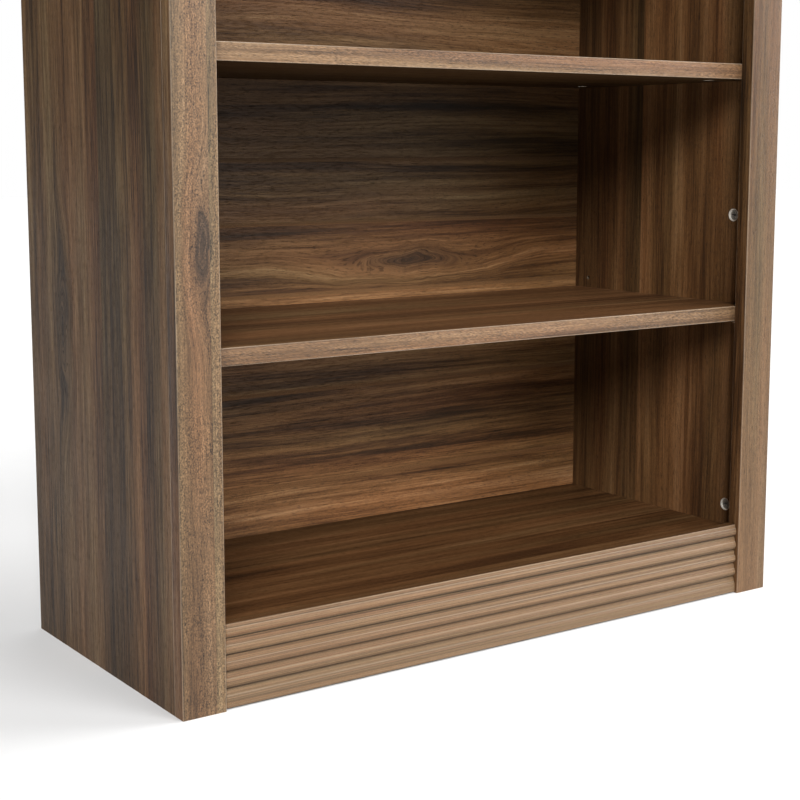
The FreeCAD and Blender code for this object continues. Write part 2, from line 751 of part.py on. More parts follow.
def make_stile_fasteners(cam, bolt, dowel):
    for side_name, side in SIDES:
        heights = [stile_cam_height(index) for index in range(STILE_CAM_COUNT)]
        between = [stile_dowel_height(index) for index in range(STILE_CAM_COUNT - 1)]
        face_x = signed(side, f"({INNER_X} + Dims.cam_sink)")
        board_x = signed(side, BOARD_MID_X)
        cams = [aimed((face_x, STILE_CAM_Y, z), (-side, 0, 0), (0, -1, 0)) for z in heights]
        bolts = [aimed((board_x, CASE_FRONT_Y, z), (0, 1, 0), (1, 0, 0)) for z in heights]
        dowels = [aimed((board_x, CASE_FRONT_Y, z), (0, 1, 0), (1, 0, 0)) for z in between]
        fastener_group(f"{side_name}_stile_cams", cam, cams)
        fastener_group(f"{side_name}_stile_cam_bolts", bolt, bolts)
        fastener_group(f"{side_name}_stile_dowels", dowel, dowels)


def make_panel_fasteners(cam, bolt, dowel):
    for name, top in FIXED_TOPS.items():
        under = f"({top} - Dims.shelf_board + Dims.cam_sink)"
        cams = []
        for _, side in SIDES:
            cam_x = signed(side, f"({INNER_X} - Dims.cam_inset)")
            cams += [aimed((cam_x, line, under), (0, 0, -1), (side, 0, 0)) for line in CAM_LINES]
        fastener_group(f"{name}_cams", cam, cams)
    for side_name, side in SIDES:
        face_x = signed(side, INNER_X)
        bolts = []
        dowels = []
        for top in FIXED_TOPS.values():
            middle = mid_height(top)
            for line in CAM_LINES:
                bolts.append(aimed((face_x, line, middle), (-side, 0, 0), (0, 1, 0)))
            for line in DOWEL_LINES:
                dowels.append(aimed((face_x, line, middle), (-side, 0, 0), (0, 1, 0)))
        fastener_group(f"{side_name}_panel_cam_bolts", bolt, bolts)
        fastener_group(f"{side_name}_panel_dowels", dowel, dowels)


def make_rail_dowels(dowel):
    for side_name, side in SIDES:
        dowels = []
        for low in RAIL_BOTTOMS.values():
            for step in (-1, 1):
                joint = (signed(side, OPENING_X), RAIL_DOWEL_Y, rail_dowel_height(low, step))
                dowels.append(aimed(joint, (side, 0, 0), (0, 1, 0)))
        fastener_group(f"{side_name}_rail_dowels", dowel, dowels)


def make_back_screws(screw):
    rear_y = f"({BACK_FACE_Y} + Dims.back_board)"
    screws = []
    for top in FIXED_TOPS.values():
        for step in (-1, 0, 1):
            seat = (f"{step} * Dims.screw_spread", rear_y, mid_height(top))
            screws.append(aimed(seat, (0, 1, 0), (1, 0, 0)))
    fastener_group("back_panel_screws", screw, screws)


def make_shelf_pins(pin):
    for shelf_name, top in LOOSE_TOPS.items():
        for side_name, side in SIDES:
            for line_name, line in PIN_LINES.items():
                label = f"{shelf_name}_pin_{line_name}_{side_name}"
                seat = (signed(side, INNER_X), line, pin_height(top, 0))
                fastener_group(label, pin, [aimed(seat, (-side, 0, 0), (0, 0, 1))])


def make_hardware():
    cam = make_cam_piece()
    bolt = make_bolt_piece()
    dowel_ends = ("Dims.dowel_in_board", "Dims.dowel_in_panel")
    dowel = make_dowel_piece("dowel_piece", "Dims.dowel_radius", *dowel_ends)
    rail_dowel_ends = ("Dims.rail_dowel_half", "Dims.rail_dowel_half")
    rail_dowel = make_dowel_piece("rail_dowel_piece", "Dims.rail_dowel_radius", *rail_dowel_ends)
    screw = make_screw_piece()
    pin = make_pin_piece()
    doc.recompute()
    make_stile_fasteners(cam, bolt, dowel)
    make_panel_fasteners(cam, bolt, dowel)
    make_rail_dowels(rail_dowel)
    make_back_screws(screw)
    make_shelf_pins(pin)


# ---------------------------------------------------------------- checks and export

def check_document():
    for item in doc.Objects:
        if "Invalid" in item.State or "Error" in item.State:
            raise RuntimeError(f"{item.Name} failed: {item.State}")
    for piece in sub_parts:
        if piece.Shape.isNull() or not piece.Shape.isValid() or not piece.Shape.Solids:
            raise RuntimeError(f"{piece.Label} has no valid solid")


def export_parts():
    os.makedirs("parts", exist_ok=True)
    for piece in sub_parts:
        piece.Shape.exportStep(f"parts/{piece.Label}.step")
        print(f"{piece.Label}: {len(piece.Shape.Solids)} solid(s), {piece.Shape.Volume / 1000:.1f} cm3")


make_side_panels()
make_stiles()
make_rails()
make_fixed_panels()
make_loose_shelves()
make_edge_bands()
make_back_panel()
make_hardware()
doc.recompute()
check_document()
export_parts()
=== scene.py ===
import math

import bmesh
import bpy
from mathutils import Matrix, Vector


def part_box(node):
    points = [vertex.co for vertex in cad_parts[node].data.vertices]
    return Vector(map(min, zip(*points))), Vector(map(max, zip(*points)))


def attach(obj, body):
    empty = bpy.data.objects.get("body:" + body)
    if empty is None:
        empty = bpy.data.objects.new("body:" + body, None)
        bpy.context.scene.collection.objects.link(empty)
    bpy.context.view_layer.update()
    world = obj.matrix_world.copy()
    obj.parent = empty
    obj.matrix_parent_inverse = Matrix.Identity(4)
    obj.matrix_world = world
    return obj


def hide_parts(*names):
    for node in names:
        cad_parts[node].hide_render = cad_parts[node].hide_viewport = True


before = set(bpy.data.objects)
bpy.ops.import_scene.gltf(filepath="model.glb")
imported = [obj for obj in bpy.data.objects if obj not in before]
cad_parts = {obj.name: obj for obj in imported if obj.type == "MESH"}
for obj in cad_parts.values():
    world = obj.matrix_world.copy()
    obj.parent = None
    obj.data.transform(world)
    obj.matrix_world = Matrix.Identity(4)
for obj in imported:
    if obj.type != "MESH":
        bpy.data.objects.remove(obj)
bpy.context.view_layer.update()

MM = 0.001
X, Y, Z = 0, 1, 2
SCENE = bpy.context.scene

# ---------------------------------------------------------------------------------------------
# Node graphs
# ---------------------------------------------------------------------------------------------


class Graph:
    """A material's node tree, with one short method for each kind of node that is used."""

    def __init__(self, name):
        self.material = bpy.data.materials.new(name)
        self.material.use_nodes = True
        self.tree = self.material.node_tree
        self.shader = self.tree.nodes["Principled BSDF"]
        self.place = self.add("ShaderNodeTexCoord").outputs["Object"]

    def add(self, kind, **settings):
        node = self.tree.nodes.new(kind)
        for key, value in settings.items():
            setattr(node, key, value)
        return node

    def plug(self, socket, value):
        if isinstance(value, bpy.types.NodeSocket):
            self.tree.links.new(value, socket)
        elif value is not None:
            socket.default_value = value

    def math(self, operation, first, second=None, third=None, clamp=False):
        node = self.add("ShaderNodeMath", operation=operation, use_clamp=clamp)
        for socket, value in zip(node.inputs, (first, second, third)):
            self.plug(socket, value)
        return node.outputs[0]

    def sum(self, *terms):
        total = terms[0]
        for term in terms[1:]:
            total = self.math("ADD", total, term)
        return total

    def spread(self, value, amount):
        """A 0 to 1 value turned to -amount/2 to amount/2."""
        return self.math("MULTIPLY_ADD", value, amount, self.negative_half(amount))

    def negative_half(self, amount):
        if isinstance(amount, bpy.types.NodeSocket):
            return self.math("MULTIPLY", amount, -0.5)
        return -0.5 * amount

    def step(self, value, low, high, to_low=0.0, to_high=1.0):
        """A smooth change from to_low to to_high while the value goes from low to high."""
        return self.plugged("ShaderNodeMapRange", value, low, high, to_low, to_high,
                            interpolation_type="SMOOTHSTEP").outputs[0]

    def linear(self, value, low, high):
        return self.plugged("ShaderNodeMapRange", value, low, high, 0.0, 1.0).outputs[0]

    def wave(self, value, frequency):
        return self.math("SINE", self.math("MULTIPLY", value, frequency))

    def split(self, vector):
        return self.plugged("ShaderNodeSeparateXYZ", vector).outputs

    def plugged(self, kind, *values, **settings):
        node = self.add(kind, **settings)
        for socket, value in zip(node.inputs, values):
            self.plug(socket, value)
        return node

    def vector(self, x, y, z):
        return self.plugged("ShaderNodeCombineXYZ", x, y, z).outputs[0]

    def stretched(self, vector, factors):
        node = self.plugged("ShaderNodeVectorMath", vector, factors, operation="MULTIPLY")
        return node.outputs[0]

    def noise(self, vector, factors, detail=2.0, roughness=0.5, distortion=0.0):
        """Noise from 0 to 1; factors are its scales along the three axes, per metre."""
        node = self.add("ShaderNodeTexNoise")
        self.plug(node.inputs["Vector"], self.stretched(vector, factors))
        self.plug(node.inputs["Scale"], 1.0)
        self.plug(node.inputs["Detail"], detail)
        self.plug(node.inputs["Roughness"], roughness)
        self.plug(node.inputs["Distortion"], distortion)
        return node.outputs[0]

    def cells(self, vector, factors):
        """Voronoi cells: distance to the cell's centre, and the cell's own random colour."""
        node = self.add("ShaderNodeTexVoronoi")
        self.plug(node.inputs["Vector"], self.stretched(vector, factors))
        self.plug(node.inputs["Scale"], 1.0)
        return node.outputs["Distance"], node.outputs["Color"]

    def ramp(self, value, stops):
        """Outputs (colour, alpha) of a colour ramp with the stops (position, colour)."""
        node = self.add("ShaderNodeValToRGB")
        elements = node.color_ramp.elements
        while len(elements) < len(stops):
            elements.new(1.0)
        for element, (position, colour) in zip(elements, stops):
            element.position = position
            element.color = colour if len(colour) == 4 else (*colour, 1.0)
        self.plug(node.inputs[0], value)
        return node.outputs

    def mix(self, factor, first, second, blend="MIX"):
        node = self.add("ShaderNodeMix", data_type="RGBA", blend_type=blend)
        factor_socket, colour_sockets = node.inputs[0], (node.inputs[6], node.inputs[7])
        self.plug(factor_socket, factor)
        for socket, colour in zip(colour_sockets, (first, second)):
            self.plug(socket, colour)
        return node.outputs[2]

    def shade(self, colour, amount):
        """A colour times a number."""
        node = self.plugged("ShaderNodeVectorMath", colour, operation="SCALE")
        self.plug(node.inputs["Scale"], amount)
        return node.outputs[0]

    def bump(self, height, distance, strength):
        node = self.add("ShaderNodeBump")
        self.plug(node.inputs["Strength"], strength)
        self.plug(node.inputs["Distance"], distance)
        self.plug(node.inputs["Height"], height)
        self.plug(self.shader.inputs["Normal"], node.outputs[0])

    def attribute(self, name):
        return self.add("ShaderNodeAttribute", attribute_name=name).outputs["Fac"]

    def surface(self, colour, roughness, metallic=0.0, gloss=0.5):
        self.plug(self.shader.inputs["Base Color"], colour)
        self.plug(self.shader.inputs["Roughness"], roughness)
        self.plug(self.shader.inputs["Metallic"], metallic)
        self.plug(self.shader.inputs["Specular IOR Level"], gloss)
        return self.material


# ---------------------------------------------------------------------------------------------
# Wood
# ---------------------------------------------------------------------------------------------

# palettes: (grain value, colour), from the darkest lines to the lightest
WALNUT = [
    (0.14, (0.019, 0.010, 0.005)),
    (0.32, (0.045, 0.022, 0.010)),
    (0.45, (0.072, 0.037, 0.016)),
    (0.58, (0.100, 0.053, 0.024)),
    (0.72, (0.130, 0.074, 0.037)),
    (0.90, (0.170, 0.105, 0.056)),
]
FRAME = [
    (0.14, (0.040, 0.023, 0.013)),
    (0.32, (0.075, 0.043, 0.024)),
    (0.50, (0.105, 0.061, 0.034)),
    (0.68, (0.130, 0.078, 0.045)),
    (0.90, (0.165, 0.104, 0.064)),
]
BEECH = [
    (0.25, (0.36, 0.22, 0.11)),
    (0.50, (0.50, 0.33, 0.18)),
    (0.75, (0.62, 0.43, 0.26)),
]
# tints that the colour is multiplied by, and the colour of worn edges with a painted highlight
OLIVE = (0.90, 1.04, 0.92, 1.0)
RUSTY = (1.12, 0.93, 0.76, 1.0)
ASHEN = (0.80, 0.88, 1.04, 1.0)
WEAR_AND_HIGHLIGHT = (0.30, 0.235, 0.17, 1.0)

# noise scales of the print, per metre: along the grain, across it, and into the board
WIDE_BEND = (1.5, 9.0, 4.0)
FINE_BEND = (6.0, 48.0, 9.0)
KNOT_BEND = (20.0, 45.0, 45.0)
BROAD = (1.1, 30.0, 30.0)
STREAK = (3.2, 120.0, 120.0)
LINE = (13.0, 520.0, 520.0)
PORES = (120.0, 1900.0, 1900.0)
STIPPLE = (700.0, 880.0, 880.0)
PATCHES = (14.0, 40.0, 40.0)
DRIFT = (2.0, 26.0, 26.0)
CLOUD = (3.1, 17.0, 17.0)
SMEAR = (9.0, 9.0, 9.0)

# how far a plank's own number and the seed shift the print, in metres
PLANK_ALONG = 17.0
PLANK_DEEP = 5.0
SEED_DEEP = 0.37


def around_knots(g, a, b, flat, bent, knots):
    """Bends the grain lines round the knots, and says how dark the knots make each place."""
    wander = g.spread(g.noise(flat, KNOT_BEND), 1.3)
    dark = 0.0
    for place_along, place_across, length, width, darkness in knots:
        down = g.math("MULTIPLY_ADD", a, 1 / (length * MM), -place_along / length)
        over = g.math("MULTIPLY_ADD", b, 1 / (width * MM), -place_across / width)
        over = g.math("ADD", over, wander)
        squares = g.math("ADD", g.math("MULTIPLY", down, down), g.math("MULTIPLY", over, over))
        radius = g.math("SQRT", squares)
        rings = g.math("MULTIPLY_ADD", radius, width * MM, place_across * MM)
        near = g.step(radius, 0.5, 2.6, 1.0, 0.0)
        bent = g.math("ADD", bent, g.math("MULTIPLY", near, g.math("SUBTRACT", rings, bent)))
        hill = g.math("EXPONENT", g.math("MULTIPLY", squares, -1.6))
        dark = g.math("MAXIMUM", dark, g.math("MULTIPLY", hill, darkness))
    return bent, dark


def wood(name, along, across, layout, knots=(), palette=WALNUT, gain=1.0, seed=0.0, pore=0.5,
         relief_and_painted_speckle=0.12, contrast=1.0, fine=0.62, ash=0.55, gloss=0.18):
    """A printed wood surface with its grain along one axis.

    layout is a list of (place in mm across the grain, tone, hue, plank, figure). Two entries at
    one place make a hard plank joint. Tone and hue are 0.5 when neutral, plank shifts the print
    so that neighbours differ, and figure is how far the grain lines bend.
    knots is a list of (place along, place across, length, width, darkness), in mm.
    gain is the lightness of the whole print, and seed shifts it. contrast is the strength of the
    grain, and fine the share of its finest lines. pore is how dark the pores are,
    relief_and_painted_speckle how strong the stippled relief is in the bump and the painted
    speckle of light and shade on it in the colour, ash how strong the greyish clouds are, and
    gloss the shader's specular level. Faces marked as worn edges look worn and get a painted
    highlight, and faces marked for shade get painted shade.
    """
    g = Graph(name)
    axes = g.split(g.place)
    third = ({X, Y, Z} - {along, across}).pop()
    a, b, c = axes[along], axes[across], axes[third]

    first, last = layout[0][0], layout[-1][0]
    stops = [
        ((place - first) / (last - first), (tone, hue, plank, figure))
        for place, tone, hue, plank, figure in layout
    ]
    bands, figure = g.ramp(g.linear(b, first * MM, last * MM), stops)
    tone, hue, plank = g.split(bands)

    # the print's own coordinates: shifted from plank to plank, and bent across the grain
    a_print = g.math("MULTIPLY_ADD", plank, PLANK_ALONG, g.math("ADD", a, seed))
    c_print = g.math("MULTIPLY_ADD", plank, PLANK_DEEP, g.math("ADD", c, seed * SEED_DEEP))
    flat = g.vector(a_print, b, c_print)
    reach = g.math("MULTIPLY_ADD", figure, 0.11, 0.012)
    bent = g.sum(b, g.spread(g.noise(flat, WIDE_BEND, detail=1.0), reach),
                 g.spread(g.noise(flat, FINE_BEND), 0.0035))
    bent, dark = around_knots(g, a, b, flat, bent, knots)
    grain = g.vector(a_print, bent, c_print)

    # grain lines of three widths
    streak = g.noise(grain, STREAK, detail=3.0, roughness=0.55)
    line = g.noise(grain, LINE, detail=3.0, roughness=0.6)
    value = g.sum(
        0.5,
        g.spread(g.noise(grain, BROAD, roughness=0.55), 0.80 * contrast),
        g.spread(streak, 0.80 * contrast),
        g.spread(line, fine * contrast),
    )
    value = g.math("MULTIPLY_ADD", dark, -0.30, value)
    colour = g.ramp(value, palette)[0]

    # warmer and greyer places
    warm = g.math("ADD", hue, g.spread(g.noise(grain, DRIFT, detail=1.0), 1.3), clamp=True)
    colour = g.mix(1.0, colour, g.mix(warm, OLIVE, RUSTY), "MULTIPLY")
    ashen = g.step(g.noise(grain, CLOUD), 0.52, 0.74, 0.0, ash)
    ashen = g.math("MAXIMUM", ashen, g.math("MULTIPLY", dark, 0.7))
    colour = g.mix(ashen, colour, g.mix(1.0, colour, ASHEN, "MULTIPLY"))

    # tone of the plank, stipple with its painted speckle of light and shade, pores, painted shade
    # in creases and worn edges with a painted highlight
    pore_mask = g.step(g.noise(grain, PORES, detail=1.0), 0.54, 0.70)
    stipple = g.noise(flat, STIPPLE, detail=0.0)
    # the stipple's strength: relief in the bump, and in the colour a painted speckle of light and
    # shade on that relief
    relief_and_speckle = g.math("MULTIPLY", relief_and_painted_speckle, g.step(g.noise(flat, PATCHES), 0.34, 0.62, 0.45, 1.25))
    level = g.math("MULTIPLY_ADD", tone, 0.9 * gain, 0.55 * gain)
    detail = g.math("MULTIPLY_ADD", g.spread(stipple, 3.6), relief_and_speckle, 1.0)
    detail = g.math("MULTIPLY_ADD", pore_mask, -pore, detail)
    # painted shade: faces marked for it, in creases and grooves, made darker
    detail = g.math("MULTIPLY_ADD", g.attribute("painted_shade"), -0.65, detail)
    colour = g.shade(colour, g.math("MULTIPLY", level, g.math("MAXIMUM", detail, 0.12)))
    # lighter on worn edges, partly as worn laminate and partly as a painted highlight
    wear_and_highlight_mix = g.math("MULTIPLY", g.attribute("wear_and_highlight"), g.step(streak, 0.36, 0.62, 0.25, 0.75))
    colour = g.mix(wear_and_highlight_mix, colour, WEAR_AND_HIGHLIGHT)

    roughness = g.sum(0.46, g.spread(g.noise(g.place, SMEAR, detail=3.0), 0.16),
                      g.spread(line, -0.14), g.math("MULTIPLY", pore_mask, 0.12))
    height = g.sum(g.math("MULTIPLY", line, 0.3), g.math("MULTIPLY", stipple, relief_and_speckle),
                   g.math("MULTIPLY", pore_mask, -0.4))
    g.bump(height, 0.0004, 0.8)
    return g.surface(colour, roughness, gloss=gloss)


def particle_board(name, gain=1.0):
    """The raw core of a board: pressed chips in a fine meal. gain is its lightness."""
    g = Graph(name)
    chip_distance, chip_colour = g.cells(g.place, (900.0, 900.0, 420.0))
    meal = g.noise(g.place, (2600.0, 2600.0, 2600.0))
    tint = g.split(chip_colour)[0]
    value = g.sum(g.math("MULTIPLY", tint, 0.7), g.spread(meal, 0.5), 0.15)
    colour = g.ramp(value, [
        (0.10, (0.16, 0.095, 0.048)),
        (0.45, (0.33, 0.215, 0.120)),
        (0.80, (0.47, 0.330, 0.195)),
        (1.00, (0.58, 0.430, 0.270)),
    ])[0]
    g.bump(g.sum(meal, g.math("MULTIPLY", chip_distance, -0.7)), 0.0003, 0.8)
    return g.surface(g.shade(colour, gain), g.step(meal, 0.3, 0.7, 0.78, 0.95))


MESH_PITCH = 2600.0    # of the press screen, in radians per metre


def hard_board(name):
    """The raw rear of a thin back: matted fibre with the faint mesh of the press screen."""
    g = Graph(name)
    axes = g.split(g.place)
    mesh = g.math("MULTIPLY", g.wave(axes[X], MESH_PITCH), g.wave(axes[Z], MESH_PITCH))
    fibre = g.noise(g.place, (420.0, 420.0, 900.0), detail=5.0, roughness=0.7, distortion=1.2)
    strand = g.noise(g.place, (150.0, 150.0, 55.0), detail=4.0, roughness=0.75, distortion=2.5)
    roller = g.noise(g.place, (0.6, 0.6, 24.0), detail=4.0, roughness=0.6)
    cloud = g.noise(g.place, (5.0, 5.0, 5.0), detail=3.0)
    value = g.sum(g.math("MULTIPLY", fibre, 0.5), g.math("MULTIPLY", strand, 0.5),
                  g.spread(strand, 0.9), g.spread(roller, 0.35), g.spread(cloud, 0.18))
    colour = g.ramp(value, [
        (0.25, (0.130, 0.076, 0.040)),
        (0.50, (0.220, 0.136, 0.074)),
        (0.75, (0.320, 0.210, 0.125)),
    ])[0]
    g.bump(g.sum(g.math("MULTIPLY", fibre, 0.8), g.math("MULTIPLY", mesh, 0.25)), 0.0002, 0.7)
    return g.surface(colour, g.step(fibre, 0.3, 0.7, 0.72, 0.90))


def metal(name, colour, roughness, mottle, scratch, metallic=1.0):
    """Plated or cast metal: mottled tone and faint scratches, and painted shade on faces marked
    for it.
    """
    g = Graph(name)
    cloud = g.noise(g.place, (210.0, 210.0, 210.0), detail=3.0)
    grit = g.noise(g.place, (2400.0, 2400.0, 2400.0))
    lines = g.noise(g.place, (300.0, 300.0, 6500.0))
    value = g.sum(1.0, g.spread(cloud, mottle), g.spread(lines, scratch))
    # painted shade on faces marked for it
    value = g.math("MULTIPLY", value, g.math("MULTIPLY_ADD", g.attribute("painted_shade"), -0.72, 1.0))
    rough = g.sum(roughness, g.spread(cloud, 0.20), g.spread(grit, 0.12))
    g.bump(g.sum(grit, g.math("MULTIPLY", lines, 0.4)), 0.00004, 0.5)
    return g.surface(g.shade(colour, value), rough, metallic)


# width of a plank joint in mm, and the numbers that the planks get in turn, between 0 and 1
JOINT = 0.02
PLANK_START, PLANK_STEP = 0.13, 0.618


def planks(*rows, low):
    """Layout for wood(): rows of (upper limit in mm, tone, hue, figure), joint after joint."""
    layout, start = [], low
    for index, (limit, tone, hue, figure) in enumerate(rows):
        plank = (index * PLANK_STEP + PLANK_START) % 1.0
        layout.append((start, tone, hue, plank, figure))
        layout.append((limit, tone, hue, plank, figure))
        start = limit + JOINT
    return layout


# gain 0.79, against 1.0 on the right outer side: painted shade on the left side
outer_left_painted_shade = wood("walnut_outer_left_painted_shade", Z, Y, [
    (-152, 0.36, 0.72, 0.10, 0.02),
    (-141, 0.50, 0.70, 0.10, 0.02),
    (-134, 0.24, 0.45, 0.10, 0.02),
    (-110, 0.26, 0.50, 0.10, 0.04),
    (-96, 0.66, 0.85, 0.10, 0.04),
    (-62, 0.62, 0.35, 0.10, 0.05),
    (-52, 0.40, 0.35, 0.10, 0.04),
    (-42, 0.08, 0.30, 0.10, 0.03),
    (-13, 0.06, 0.30, 0.10, 0.02),
    (-12.98, 0.56, 0.80, 0.66, 0.05),
    (40, 0.44, 0.55, 0.66, 0.10),
    (100, 0.50, 0.52, 0.66, 0.12),
    (134, 0.42, 0.46, 0.66, 0.05),
    (168, 0.38, 0.40, 0.66, 0.03),
], knots=[(337, 83, 60, 13, 0.8)], gain=0.79, contrast=1.35, fine=1.1, ash=0.25)

# the plank behind 62 mm is kept darker, as painted shade towards the rear corner
inner_right_painted_shade = wood("walnut_inner_right_painted_shade", Z, Y, [
    (-152, 0.50, 0.80, 0.31, 0.03),
    (-118, 0.48, 0.78, 0.31, 0.05),
    (-92, 0.50, 0.90, 0.31, 0.05),
    (-60, 0.32, 0.75, 0.31, 0.02),
    (-52, 0.48, 0.80, 0.31, 0.06),
    (36, 0.52, 0.95, 0.31, 0.08),
    (36.02, 0.18, 0.50, 0.87, 0.02),
    (62, 0.22, 0.52, 0.87, 0.02),
    (62.02, 0.36, 0.70, 0.52, 0.06),
    (168, 0.28, 0.70, 0.52, 0.04),
], seed=3.1, gain=1.25, ash=0.3)

inner_left = wood("walnut_inner_left", Z, Y, planks(
    (-96, 0.54, 0.75, 0.06), (-21, 0.44, 0.65, 0.12), (48, 0.58, 0.80, 0.05),
    (101, 0.50, 0.66, 0.16), (168, 0.42, 0.70, 0.04), low=-152),
    seed=6.7, gain=1.2, ash=0.3)

outer_right = wood("walnut_outer_right", Z, Y, planks(
    (-104, 0.50, 0.55, 0.04), (-48, 0.60, 0.48, 0.14), (34, 0.44, 0.40, 0.08),
    (92, 0.56, 0.64, 0.20), (168, 0.46, 0.50, 0.04), low=-152),
    knots=[(742, 64, 70, 14, 0.8)], seed=9.4)

left_stile = wood("walnut_left_stile", Z, X, [
    (-381, 0.50, 0.30, 0.22, 0.03),
    (-375, 0.52, 0.50, 0.22, 0.06),
    (-364, 0.48, 0.60, 0.22, 0.08),
    (-353, 0.46, 0.50, 0.22, 0.06),
    (-346, 0.44, 0.45, 0.22, 0.02),
    (-345.98, 0.60, 0.15, 0.74, 0.01),
    (-336, 0.58, 0.45, 0.74, 0.01),
], knots=[(430, -353.5, 42, 10, 2.1)], seed=12.2, palette=FRAME, gain=1.13, relief_and_painted_speckle=0.42,
    contrast=1.05, fine=0.9, ash=0.45, gloss=0.35)

right_stile = wood("walnut_right_stile", Z, X, [
    (336, 0.62, 0.80, 0.48, 0.03),
    (345, 0.58, 0.60, 0.48, 0.04),
    (357, 0.56, 0.40, 0.48, 0.04),
    (368, 0.46, 0.70, 0.48, 0.04),
    (381, 0.34, 0.60, 0.48, 0.03),
], seed=15.8, palette=FRAME, gain=1.12, ash=0.15, gloss=0.25)

stile_side = wood("walnut_stile_side", Z, Y, [
    (-168, 0.42, 0.95, 0.37, 0.02),
    (-160, 0.30, 0.90, 0.37, 0.02),
    (-152, 0.36, 0.80, 0.37, 0.02),
], seed=55.4, contrast=1.7, ash=0.1)

plinth_wood = wood("walnut_plinth", X, Z, [
    (0, 0.44, 0.45, 0.15, 0.02),
    (16, 0.50, 0.42, 0.35, 0.02),
    (32, 0.56, 0.55, 0.55, 0.02),
    (48, 0.52, 0.50, 0.70, 0.02),
    (64, 0.50, 0.58, 0.85, 0.02),
    (84, 0.54, 0.55, 0.95, 0.02),
], seed=18.9, palette=FRAME, gain=1.46, relief_and_painted_speckle=0.25, contrast=1.7, ash=0.25, gloss=0.30)

top_rail_wood = wood("walnut_top_rail", X, Z, [
    (1138, 0.52, 0.50, 0.12, 0.02),
    (1180, 0.50, 0.45, 0.55, 0.02),
    (1220, 0.54, 0.55, 0.90, 0.02),
], seed=21.3, palette=FRAME, gain=1.46, relief_and_painted_speckle=0.25, contrast=1.7, ash=0.25, gloss=0.30)

bottom_wood = wood("walnut_bottom_panel", X, Y, planks(
    (-104, 0.52, 0.95, 0.05), (-28, 0.46, 1.0, 0.08), (31, 0.52, 0.92, 0.12),
    (88, 0.46, 0.85, 0.04), (157, 0.50, 0.80, 0.04), low=-152),
    seed=24.6, gain=0.90, ash=0.1, gloss=0.06)

middle_wood = wood("walnut_middle_shelf", X, Y, planks(
    (-84, 0.50, 0.78, 0.05), (2, 0.54, 0.70, 0.14), (71, 0.44, 0.66, 0.05),
    (157, 0.52, 0.76, 0.06), low=-152), seed=27.5, gain=1.1, ash=0.3)

lower_wood = wood("walnut_lower_shelf", X, Y, planks(
    (-96, 0.50, 0.90, 0.05), (-40, 0.55, 0.84, 0.10), (38, 0.46, 0.90, 0.05),
    (102, 0.52, 0.80, 0.12), (157, 0.48, 0.80, 0.04), low=-152),
    seed=30.1, gain=1.03, ash=0.3)

upper_wood = wood("walnut_upper_shelf", X, Y, planks(
    (-70, 0.52, 0.74, 0.08), (16, 0.46, 0.68, 0.05), (84, 0.55, 0.80, 0.12),
    (157, 0.50, 0.70, 0.04), low=-152), seed=33.7, gain=1.1, ash=0.3)

# undersides of the horizontal boards: the print made darker, as painted shade under the boards
underside_painted_shade_wood = wood("walnut_underside_painted_shade", X, Y, planks(
    (-60, 0.44, 0.52, 0.05), (40, 0.52, 0.46, 0.08), (157, 0.46, 0.50, 0.05),
    low=-152), seed=61.3, gain=0.62, ash=0.1, gloss=0.06)

rail_top_wood = wood("walnut_rail_top", X, Y, [
    (-168, 0.46, 0.85, 0.30, 0.02),
    (-150, 0.42, 0.80, 0.45, 0.02),
], seed=63.9, ash=0.1, gloss=0.1)

top_wood = wood("walnut_top_panel", X, Y, planks(
    (-90, 0.50, 0.52, 0.05), (-12, 0.56, 0.48, 0.16), (66, 0.46, 0.55, 0.05),
    (160, 0.52, 0.50, 0.08), low=-152), knots=[(120, -51, 75, 13, 0.8)], seed=36.9)

# from 232 mm up to 612 mm the plank tones fall from 0.86 to 0.01, towards the middle shelf:
# painted shade under the shelf
back_painted_shade_wood = wood("walnut_back_panel_painted_shade", X, Z, planks(
    (121, 0.80, 0.85, 0.10), (232, 1.00, 0.65, 0.30), (345, 0.86, 0.60, 0.12),
    (428, 0.62, 0.70, 0.14), (501, 0.33, 0.45, 0.40), (612, 0.01, 0.50, 0.12),
    (704, 0.38, 0.66, 0.30), (790, 0.17, 0.48, 0.12), (862, 0.26, 0.68, 0.20),
    (948, 0.21, 0.42, 0.30), (1040, 0.18, 0.50, 0.12), (1128, 0.26, 0.54, 0.20),
    (1219, 0.20, 0.44, 0.10), low=52),
    knots=[(100, 381, 82, 15, 1.2), (-200, 905, 80, 15, 0.7)], seed=40.3, ash=0.35, gain=1.45,
    contrast=1.25)

band_wood = wood("walnut_edge_band", X, Z, [
    (0, 0.54, 0.64, 0.20, 0.0),
    (1219, 0.54, 0.64, 0.60, 0.0),
], seed=44.8, palette=FRAME, gain=1.26, relief_and_painted_speckle=0.60, contrast=1.5, ash=0.2, gloss=0.30)

depth_band_wood = wood("walnut_depth_band", Y, X, [
    (-381, 0.50, 0.50, 0.20, 0.0),
    (381, 0.50, 0.50, 0.60, 0.0),
], seed=48.2, pore=0.35)

beech = wood("beech_dowel", X, Y, [
    (-400, 0.5, 0.5, 0.2, 0.0),
    (400, 0.5, 0.5, 0.8, 0.0),
], palette=BEECH, seed=51.0, pore=0.2)

chipboard = particle_board("raw_particle_board")
# walls of drilled holes: the raw core made much darker, as painted shade inside the holes
bore_painted_shade = particle_board("bored_particle_board_painted_shade", gain=0.2)
hardboard = hard_board("raw_hardboard")
zinc = metal("cast_zinc", (0.88, 0.82, 0.72), 0.38, 0.22, 0.05, 0.25)
nickel = metal("nickel_plate", (0.68, 0.66, 0.62), 0.24, 0.12, 0.08)
plated = metal("zinc_plated_steel", (0.60, 0.60, 0.61), 0.32, 0.18, 0.10)

# ---------------------------------------------------------------------------------------------
# Meshes
# ---------------------------------------------------------------------------------------------


